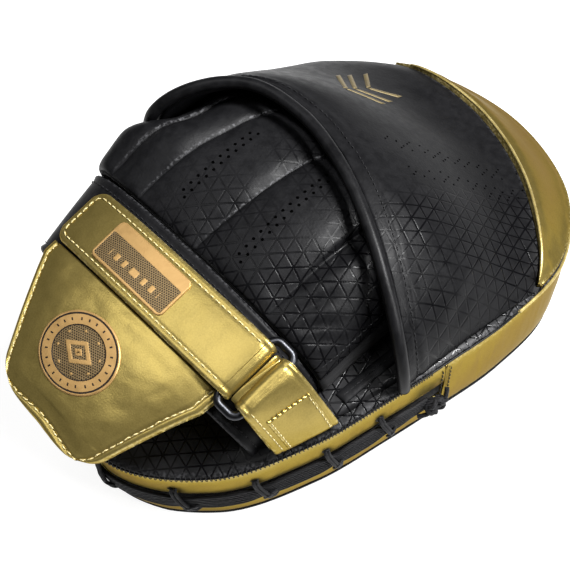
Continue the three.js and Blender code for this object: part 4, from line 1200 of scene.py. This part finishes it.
# ---------------------------------------------------------------- fingertip panel
b = eased(170, 0.2)[None, :]
a = eased(26, 0.5)[:, None]
run = lerp(0.02, 0.98, b)
su, sv = seam_point(run)
level = np.maximum(1 - np.abs(2 * run - 1) ** 6, 0)
e = edge(lerp(SEAM_FROM, SEAM_TO, run)) * 0.995
across = lerp(0.02, 1, a)
tall = lerp(HOOD_SEAM * level + 1, 2.6, np.sin(across * np.pi / 2) ** 1.6)
u, v = lerp(su, e[..., 0], across), lerp(sv, e[..., 1], across)
tip = over(u, v, GAP + tall)
pins = np.zeros(tip.shape[:2])
pins[[0, -1]] = 1
pins[:, [0, 1, -1, -2]] = 1
tip = inflate(tip, pins, pressure=3.0, grow=0.01, frames_run=14, cap=1.0, stiff=14, settle=3)
arc_a, arc_b = lengths(tip, 0), lengths(tip, 1)
pull = (0.28 * noise2(arc_b / 3.2, arc_a / 14, 41) * np.exp(-arc_a / 6)
        + 0.2 * noise2(arc_b / 4.5, arc_a / 12, 42) * np.exp(-(arc_a[-1:] - arc_a) / 5))
soft = rolled(arc_a, 3) * rolled(arc_a[-1:] - arc_a, 3)
tip = tip + normals(tip) * ((pull + 0.2 * noise2(arc_b / 20, arc_a / 12, 43)) * soft)[..., None]
base = over(u, v, GAP + 0 * tall)
wear = 1 - smooth(np.minimum(arc_a, arc_a[-1:] - arc_a), 0, 1.6)
# The crescent takes the darker gold copy: painted shade.
put("tip_crescent", shell(tip, base), GOLD_SHADED_TIP, replaces=["tip_panel"], slot="gold_leatherette", pad=0.8,
    attrs={"wear": both(wear)})
run = np.linspace(0.03, 0.94, 420)
su, sv = seam_point(run)
level = np.maximum(1 - np.abs(2 * run - 1) ** 6, 0)
line = resample(over(su + 0.4, sv, HOOD_SEAM * level + 0.7 + 1.4 * np.sin(np.pi * run) ** 0.5), 0.55)
from_end = np.minimum(np.arange(len(line)), np.arange(len(line))[::-1]) * 0.55
put("tip_seam_rope", tube(line, 0.3 + 0.45 * rolled(from_end, 12), 9, twist=0.55, lobes=0.09), GOLD_EDGE,
    replaces=["tip_seam_cord"], slot="gold_leatherette")

# ---------------------------------------------------------------- strap, ring and tab
BAR_OFF = 0.6 + STRAP_THICK + 2 * GAP + RING_WIRE / 2
far_bar = np.array([RING_BAR, float(wrist_arch(RING_BAR, BAR_OFF))])
lean = math.atan(float(wrist_arch(RING_BAR + 1, BAR_OFF) - wrist_arch(RING_BAR - 1, BAR_OFF)) / 2)
spacing = RING_SIZE[1] - RING_WIRE
near_bar = far_bar - spacing * np.array([math.cos(lean), math.sin(lean)])
LOOP = RING_WIRE / 2 + 2 * GAP + STRAP_THICK / 2
RING_U = sum(STRAP_U) / 2


def around(centre, radius, start, stop, count):
    return [(centre[0] + radius * math.cos(math.radians(x)), centre[1] + radius * math.sin(math.radians(x)))
            for x in np.linspace(start, stop, count)]


deg = math.degrees(lean)
lower = [(v, float(wrist_arch(v, 0.6 + STRAP_THICK / 2)) + 0.2) for v in (-4, -14, -24)]
upper = [(v, float(wrist_arch(v, o)) + GAP) for v, o in zip(
    (-26, -18, -8, 4, 18, 32, 48, 62, STRAP_END), (7.4, 6.2, 5.2, 4.6, 4.4, 4.4, 4.4, 4.4, 4.4))]
path, tangent = catmull(lower + around(far_bar, LOOP, deg - 80, deg - 280, 7) + upper, 900)
run_s = np.concatenate([[0], np.cumsum(np.linalg.norm(np.diff(path, axis=0), axis=1))])
leftmost = int(np.argmin(path[:, 0]))
i_bottom = int(np.argmin(np.abs(path[:leftmost, 0] - (far_bar[0] + LOOP * math.cos(math.radians(deg - 90))))
                         + 9 * (path[:leftmost, 1] > far_bar[1])))
top_v = far_bar[0] + LOOP * math.cos(math.radians(deg + 90))
i_top = leftmost + int(np.argmin(np.abs(path[leftmost:, 0] - top_v)))


def strap_at(s, u, off):
    p = [np.interp(s, run_s, path[:, k]) for k in (0, 1)]
    d = [np.interp(s, run_s, tangent[:, k]) for k in (0, 1)]
    return over(u, p[0] - d[1] * off, p[1] + d[0] * off)


END_S = run_s[-1]


def half_width(s, corner=7.0):
    k = np.clip((s - (END_S - corner)) / corner, 0, 1)
    return (STRAP_U[1] - STRAP_U[0]) / 2 - corner * (1 - np.sqrt(np.maximum(1 - k**2, 0))) * 0.98


def strap_piece(name, start, stop, count, free_end, **more):
    s = (lerp(start, stop, np.concatenate([np.linspace(0, 0.9, count), lerp(0.9, 1, eased(26, 1.0)[1:])]))
         if free_end else np.linspace(start, stop, count))[:, None]
    q = (2 * eased(34, 0.75) - 1)[None, :]
    half = half_width(s)
    d = (1 - np.abs(q)) * half
    if free_end:
        d = np.minimum(d, END_S - s)
    body = STRAP_THICK / 2 * rolled(d, 1.3)
    groove = 0.32 * np.exp(-((d - 2.9) / 0.55) ** 2)
    pillow = 0.16 * smooth(d, 3.2, 9) + 0.12 * noise2(s / 16 + 0 * q, q * 1.6 + 0 * s, 51)
    pillow = pillow * (0.3 + 0.7 * smooth(s, start + 2, start + 9))
    u = RING_U + q * half
    outer, inner = strap_at(s + 0 * q, u, body - groove + pillow), strap_at(s + 0 * q, u, -body + 0 * u)
    wear = 1 - smooth(d, 0.1, 1.3)
    return put(name, shell(outer, inner), GOLD, slot="gold_leatherette",
               attrs={"wear": both(wear, wear)}, **more)


def mid(k, off):
    return strap_at(run_s[k], RING_U, off)


strap_piece("strap_outer", run_s[i_top], END_S, 150, True, body="strap", replaces=["wrist_strap"])
strap_piece("strap_turn", run_s[i_bottom], run_s[i_top], 60, False,
            blend=("ring", "strap", mid(i_bottom, -0.2), mid(i_top, 0.2)))
strap_piece("strap_tail", 0.0, run_s[i_bottom], 50, False,
            blend=("root", "ring", mid(60, 0), mid(i_bottom, 0)))
lanes = []
s_line = np.linspace(run_s[i_top] + 1.5, END_S - 7, 160)
for side in (1, -1):
    lanes.append([(s, RING_U + side * (half_width(s) - 2.9)) for s in s_line])
corner_line = [(END_S - 7 + 4.1 * math.cos(math.pi / 2 * x),
                RING_U + (13.5 - 7) + 4.1 * math.sin(math.pi / 2 * x)) for x in np.linspace(1, 0, 12)]
loop_line = lanes[0] + corner_line + [(a, 2 * RING_U - b) for a, b in corner_line[::-1]] + lanes[1][::-1]
loop_line = np.array(loop_line)
line = strap_at(loop_line[:, 0], loop_line[:, 1], STRAP_THICK / 2 - 0.22)
up = strap_at(loop_line[:, 0], loop_line[:, 1], STRAP_THICK / 2 + 0.78) - line
put("strap_stitches", stitches(line, up, 2.7, 3.7, 0.33), GOLD_THREAD, body="strap", slot="gold_leatherette")

u = np.linspace(STRAP_U[0] + 3, STRAP_U[1] - 3, 30)[:, None]
v = np.linspace(10, STRAP_END - 6, 90)[None, :]
nap = 0.12 * np.sin(u * 5.1) * np.sin(v * 5.1)
put("hook_tape", shell(over(u + 0 * v, v + 0 * u, wrist_arch(v, 2.8) + 0 * u + GAP),
                       over(u + 0 * v, v + 0 * u, wrist_arch(v, 2.05) + nap + GAP)), LINER, body="strap",
    replaces=["hook_patch"], slot="liner_fabric")


def label():
    """Oblong printed patch: a plain copper strip over a dark honeycomb field, in a thin copper frame."""
    v0, v1, half, corner_r = 5.0, 52.0, 9.3, 3.0
    a, q = eased(150, 0.35)[:, None], (2 * eased(60, 0.35) - 1)[None, :]
    top_s, top_v = run_s[i_top:], path[i_top:, 0]
    s0, s1 = np.interp([v0, v1], top_v, top_s)
    s = lerp(s0, s1, a)
    d_end = np.minimum(a, 1 - a) * (s1 - s0)
    cut = np.clip(1 - d_end / corner_r, 0, 1)
    width = half - corner_r * (1 - np.sqrt(np.maximum(1 - cut**2, 0)))
    u = RING_U + q * width
    d = np.minimum((1 - np.abs(q)) * width, d_end)
    rise = STRAP_THICK / 2 + 0.18 + 0.62 * rolled(d, 0.5)
    frame_line = d < 1.15
    strip = (u - RING_U) > 3.2
    zone = np.where(frame_line | strip, 1.0, 0.0)
    zone = np.where((np.abs(u - RING_U - 3.2) < 0.35) & ~frame_line, 0.0, zone)
    zone = zone + 0 * s
    along = np.abs(s - (s0 + s1) / 2)
    rows = (along % 5.2 < 2.4) & (np.abs(u - RING_U + 3.3) < 1.6) & (along < 16)
    zone = np.where(rows, 1.0, zone)
    outer = strap_at(s + 0 * q, u, rise + 0.1 * zone)
    inner = strap_at(s + 0 * q, u, STRAP_THICK / 2 + 0.05 + 0 * rise)
    n = zone.size
    put("strap_badge", shell(outer, inner), LABEL, body="strap", replaces=["strap_label"], slot="copper_trim",
        attrs={"zone": np.concatenate([zone.ravel(), np.ones(n)]), "line": np.zeros(2 * n)})


label()

# ring
steps, corner_r = 24, 4.0
half_long, half_short = (RING_SIZE[0] - RING_WIRE) / 2, spacing / 2
loop = []
for k, (su_, sv_) in enumerate(((1, 1), (-1, 1), (-1, -1), (1, -1))):
    for x in np.linspace(k * 90, k * 90 + 90, steps):
        loop.append((su_ * (half_long - corner_r) + corner_r * math.cos(math.radians(x)),
                     sv_ * (half_short - corner_r) + corner_r * math.sin(math.radians(x))))
loop = np.array(loop)
middle = (far_bar + near_bar) / 2
line = over(RING_U + loop[:, 0], middle[0] + loop[:, 1] * math.cos(lean),
            middle[1] + loop[:, 1] * math.sin(lean))
plane_up = over(RING_U, middle[0] - 5 * math.sin(lean), middle[1] + 5 * math.cos(lean))
plane_up = plane_up - over(RING_U, *middle)
put("steel_ring", tube(line, RING_WIRE / 2, 18, closed=True, up=np.tile(plane_up, (len(line), 1))), STEEL,
    body="ring", replaces=["ring"], slot="steel")


# tab round the near bar
def tab_surface(u, samples):
    foot = -float(edge_v(u, -1)) + 1.5
    radius = RING_WIRE / 2 + GAP + 1.4
    points = [(foot, 4.6), (lerp(foot, near_bar[0], 0.3) - 1.6, near_bar[1] * 0.5)]
    points += around(near_bar, radius, deg + 120, deg - 120, 7)
    points += [(lerp(foot, near_bar[0], 0.55) + 1.5, near_bar[1] * 0.5), (foot + 3.7, 1.6)]
    return catmull(points, samples)


TAB_N, TAB_M = 130, 31
q = 2 * eased(TAB_M, 0.7) - 1
b = np.linspace(0, 1, TAB_N)
tab_u = RING_U + q[None, :] * (13 + 1.5 * np.abs(2 * b - 1) ** 2)[:, None]
tab_p, tab_d = np.zeros((TAB_N, TAB_M, 2)), np.zeros((TAB_N, TAB_M, 2))
for j in range(TAB_M):
    us = RING_U + q[j] * 13.6
    tab_p[:, j], tab_d[:, j] = tab_surface(us, TAB_N)


def tab_at(off):
    return over(tab_u, tab_p[..., 0] - tab_d[..., 1] * off, tab_p[..., 1] + tab_d[..., 0] * off)


d = (1 - np.abs(q))[None, :] * 13.5 + 0 * tab_u
body = 1.05 * rolled(d, 1.2)
groove = 0.3 * np.exp(-((d - 2.6) / 0.55) ** 2)
arc = lengths(tab_at(0.0), 0)
wave = (0.22 * noise2(arc / 9, tab_u / 9, 61)
        + 0.15 * noise2(arc / 3, tab_u / 20, 62) * np.exp(-((arc - 38) / 6) ** 2))
outer, inner = tab_at(body - groove + wave), tab_at(-body * 0.9)
wear = 1 - smooth(d, 0.1, 1.3)
put("ring_tab_loop", shell(outer, inner), GOLD, replaces=["ring_tab"], slot="gold_leatherette",
    attrs={"wear": both(wear, wear)})


# the doubled tail of the strap's webbing, seen in the ring's opening
q_fold, r_fold = np.linspace(-1, 1, 30)[None, :], np.linspace(0.45, 0.93, 26)[:, None]
slant = np.exp(-((r_fold - 0.56 - 0.14 * q_fold) / 0.09) ** 2)
fold = [over(RING_U + 12.2 * q_fold + 0 * r_fold, lerp(far_bar[0], near_bar[0], r_fold) + 0 * q_fold,
             lerp(far_bar[1], near_bar[1], r_fold) + 0.5 + z + 0.9 * slant - 0.5 * q_fold**4)
        for z in (0.6 * rolled((1 - np.abs(q_fold)) * 12.2, 0.8), 0 * q_fold - 0.7)]
put("strap_doubled_tail", shell(*fold), GOLD, body="ring", slot="gold_leatherette")


def tab_line(s_values, u_offset, off):
    out = []
    for s, du in zip(s_values, u_offset):
        j = int(np.clip(np.searchsorted(q * 13.6, du), 1, TAB_M - 1))
        w = (du - q[j - 1] * 13.6) / ((q[j] - q[j - 1]) * 13.6)
        row = []
        for jj in (j - 1, j):
            pts = [np.interp(s, arc[:, jj], tab_p[:, jj, k]) for k in (0, 1)]
            dd = [np.interp(s, arc[:, jj], tab_d[:, jj, k]) for k in (0, 1)]
            row.append((pts[0] - dd[1] * off, pts[1] + dd[0] * off))
        out.append(over(RING_U + du, lerp(row[0][0], row[1][0], w), lerp(row[0][1], row[1][1], w)))
    return np.array(out)


s = np.linspace(1.5, 36, 70)
line = tab_line(s, -11.0 + 0 * s, 1.0)
sews = stitches(line, tab_line(s, -11.0 + 0 * s, 2.0) - line, 2.4, 3.4, 0.3)
# the sewn-down patch with a pinked top edge
pu = np.linspace(-9.0, 11.2, 61)
patch = []
for off in (1.85, 1.15):
    rows = []
    for share in np.concatenate([[0, 0.02, 0.05], np.linspace(0.1, 0.9, 12), [0.95, 0.985, 1]]):
        pink = 0.6 * (2 * np.abs((pu / 2.35) % 1 - 0.5)) * smooth(share, 0.9, 1.0)
        s = 1.0 + 25.0 * share - pink
        lip = off if 0.01 < share < 0.99 else 1.3
        rows.append(tab_line(s, pu, lip if off > 1.5 else 1.15))
    patch.append(np.array(rows))
ripple = 0.18 * noise2(np.arange(18)[:, None] / 3 + 0 * pu, pu[None, :] / 4, 71)
patch[0] += normals(patch[0]) * ripple[..., None]
patch[0][:, [0, -1]] = lerp(patch[0][:, [0, -1]], patch[1][:, [0, -1]], 0.7)
put("tab_sewn_patch", shell(*patch), GOLD, replaces=["tab_patch"], slot="gold_leatherette",
    attrs={"wear": both((np.abs(pu - 1.1)[None, :] > 9.4).repeat(18, 0) * 1.0)})
for side in (-1, 1):
    s = np.linspace(1.8, 24.5, 60)
    zig = 1.1 + side * 8.9 + 0 * s
    line = tab_line(s, zig, 1.95)
    sews += stitches(line, tab_line(s, zig, 2.95) - line, 2.0, 2.9, 0.26, slant=0.15)
put("tab_stitches", sews, GOLD_THREAD, slot="gold_leatherette")

# ---------------------------------------------------------------- cuff
T0 = -0.235
t = np.concatenate([np.linspace(T0, 0.8, 46), lerp(0.8, 1, eased(30, 1.0)[1:])])[:, None]
run = eased(110, 0.5)[None, :]


def cuff_edges(t):
    k = np.clip((t - 0.84) / 0.16, 0, 1)
    corner = 1 - np.sqrt(np.maximum(1 - k**2, 0))
    tt = np.maximum(t, 0)
    near = lerp(FOLD_V[0], END_V[0] - 3, tt**0.95) + 7.5 * corner + 6 * np.minimum(t, 0)
    far = lerp(FOLD_V[1], END_V[1], np.maximum(t, -0.1)) - 7.0 * corner
    return near, far


def cuff_at(t, run, off):
    near, far = cuff_edges(t)
    v = lerp(near, far, run)
    end = lerp(END_U[0], END_U[1], run) + 3 * ((2 * run - 1) ** 2) ** 3
    return over(lerp(FOLD_U, end, t), v, wrist_arch(v, off, WRIST - 2 * np.maximum(t, 0)) + GAP), v


flatish, cuff_v = cuff_at(t, run, 3.3)
arc_t, arc_r = lengths(flatish, 0), lengths(flatish, 1)
d = np.minimum(np.minimum(arc_r, arc_r[:, -1:] - arc_r), arc_t[-1:] - arc_t)
profile = (0.5 + 2.95 * rolled(d, 1.7) - 0.75 * np.exp(-((d - 4.1) / 0.75) ** 2) + 0.35 * smooth(d, 4.8, 15)
           - 0.5 * (1 - smooth(arc_t, 0, 6)))
cuff, _ = cuff_at(t, run, profile)
pins = np.where(d < 5.5, 1.0, 0.0)
pins[:4] = 1
cuff = inflate(cuff, pins, pressure=1.5, grow=0.001, frames_run=14, cap=0.6, stiff=20, settle=14)
inside = smooth(d, 4.5, 16)
swell = (0.35 * noise2(arc_t / 17, arc_r / 22, 81) + 0.1 * noise2(arc_t / 5, arc_r / 6, 82)) * inside
pucker = 0.12 * noise2(arc_t / 4, arc_r / 3, 83) * np.exp(-((d - 3) / 2) ** 2)
cuff = cuff + normals(cuff) * (swell + pucker)[..., None]
back_side, _ = cuff_at(t, run, 0.5 + 0 * d)
wear = 1 - smooth(d, 0.1, 1.6)
fold_a, fold_b = over(-86.0, 15, WRIST + 2), over(-95.0, 15, WRIST + 2)
blend_cuff = ("root", "cuff", fold_a, fold_b)
put("cuff_leather", shell(cuff, back_side), GOLD, replaces=["cuff_flap", "cuff_base"],
    slot="gold_leatherette", pad=0.6, attrs={"wear": both(wear)}, blend=blend_cuff)
cuff_tree = tree_of(cuff)
# stitch line, STITCH_IN inside the cuff's free edge
STITCH_IN = 4.1
near_lane, far_lane, end_lane = [], [], []
for i in range(0, cuff.shape[0]):
    for lane, cols_ in ((near_lane, range(0, 55)), (far_lane, range(109, 54, -1))):
        dd = [d[i, j] for j in cols_]
        k = next((m for m in range(1, len(dd)) if dd[m] >= STITCH_IN), None)
        if k is None or arc_t[-1, 55] - arc_t[i, 55] < STITCH_IN:
            continue
        j0, j1 = list(cols_)[k - 1], list(cols_)[k]
        w = (STITCH_IN - d[i, j0]) / max(d[i, j1] - d[i, j0], 1e-6)
        lane.append(lerp(cuff[i, j0], cuff[i, j1], w))
for j in range(0, cuff.shape[1]):
    col = arc_t[-1, j] - arc_t[:, j]
    i = int(np.argmin(np.abs(col - STITCH_IN)))
    if min(arc_r[i, j], arc_r[i, -1] - arc_r[i, j]) > 4.6:
        end_lane.append(cuff[i, j])
path_all = np.array(near_lane + end_lane + far_lane[::-1])
even = resample(path_all, 1.0)
up = []
for p in even:
    loc, n, _, _ = cuff_tree.find_nearest(Vector(p))
    n = np.array(n)
    up.append(n if n[2] > 0 else -n)
up = np.array(up)
put("cuff_stitches", stitches(even + up * 0.1, up, 2.7, 3.7, 0.33), GOLD_THREAD, slot="gold_leatherette",
    blend=blend_cuff)


BADGE_U, BADGE_V, BADGE_LONG = -110.5, 22, 21


def badge():
    """Oval printed patch: copper rims round a dark honeycomb field with a plain diamond."""
    rad = np.concatenate([[0.02], np.linspace(0.06, 1, 64)])[:, None]
    turn = np.linspace(0, 2 * np.pi, 128, endpoint=False)[None, :]
    u = BADGE_U + BADGE_LONG * 0.75 * rad * np.sin(turn)
    v = BADGE_V + BADGE_LONG * rad * np.cos(turn)
    zone = np.where(rad > 0.655, 1.0, 0.0) + 0 * turn
    line = np.where((np.abs(rad - 0.925) < 0.016) | (np.abs(rad - 0.65) < 0.012), 1.0, 0.0) + 0 * turn
    dx, dy = rad * np.sin(turn), rad * np.cos(turn)
    diamond = np.abs(dx) / 0.34 + np.abs(dy) / 0.42
    zone = np.where((diamond < 1) & (diamond > 0.62), 1.0, zone)
    zone = np.where(diamond < 0.3, 1.0, zone)
    for k in range(8):
        a = math.pi / 8 + k * math.pi / 4
        zone = np.where(np.hypot(dx - 0.53 * math.cos(a), dy - 0.53 * math.sin(a)) < 0.028, 1.0, zone)
    ticks = (np.abs(rad - 0.79) < 0.035) & (np.abs(np.sin(turn * 12)) > 0.93)
    line = np.where(ticks, 1.0, line)
    height = 0.45 + 0.12 * zone + 0.1 * (rad > 0.95) - 0.4 * smooth(rad, 0.975, 1.0)
    grid, lowg = np.zeros(u.shape + (3,)), np.zeros(u.shape + (3,))
    for i in range(u.shape[0]):
        for j in range(u.shape[1]):
            base = over(u[i, j], v[i, j], 60.0)
            hit, n = drop(cuff_tree, base, over(u[i, j], v[i, j], 0) - base)
            if hit is None:
                hit = over(u[i, j], v[i, j], float(wrist_arch(v[i, j], 4.2)) + GAP)
                n = over(u[i, j], v[i, j], 2) - over(u[i, j], v[i, j], 1)
            grid[i, j] = hit + n * height[i, j]
            lowg[i, j] = hit + n * 0.02
    ring = np.concatenate([grid, lowg[-1:], lowg[:1]])
    extra = np.zeros((2, 128))
    put("cuff_disc", loft(ring), BADGE, replaces=["cuff_badge"], slot="copper_trim", body="cuff",
        attrs={"zone": np.concatenate([zone, extra + 1]), "line": np.concatenate([line, extra])})


badge()

low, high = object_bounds()
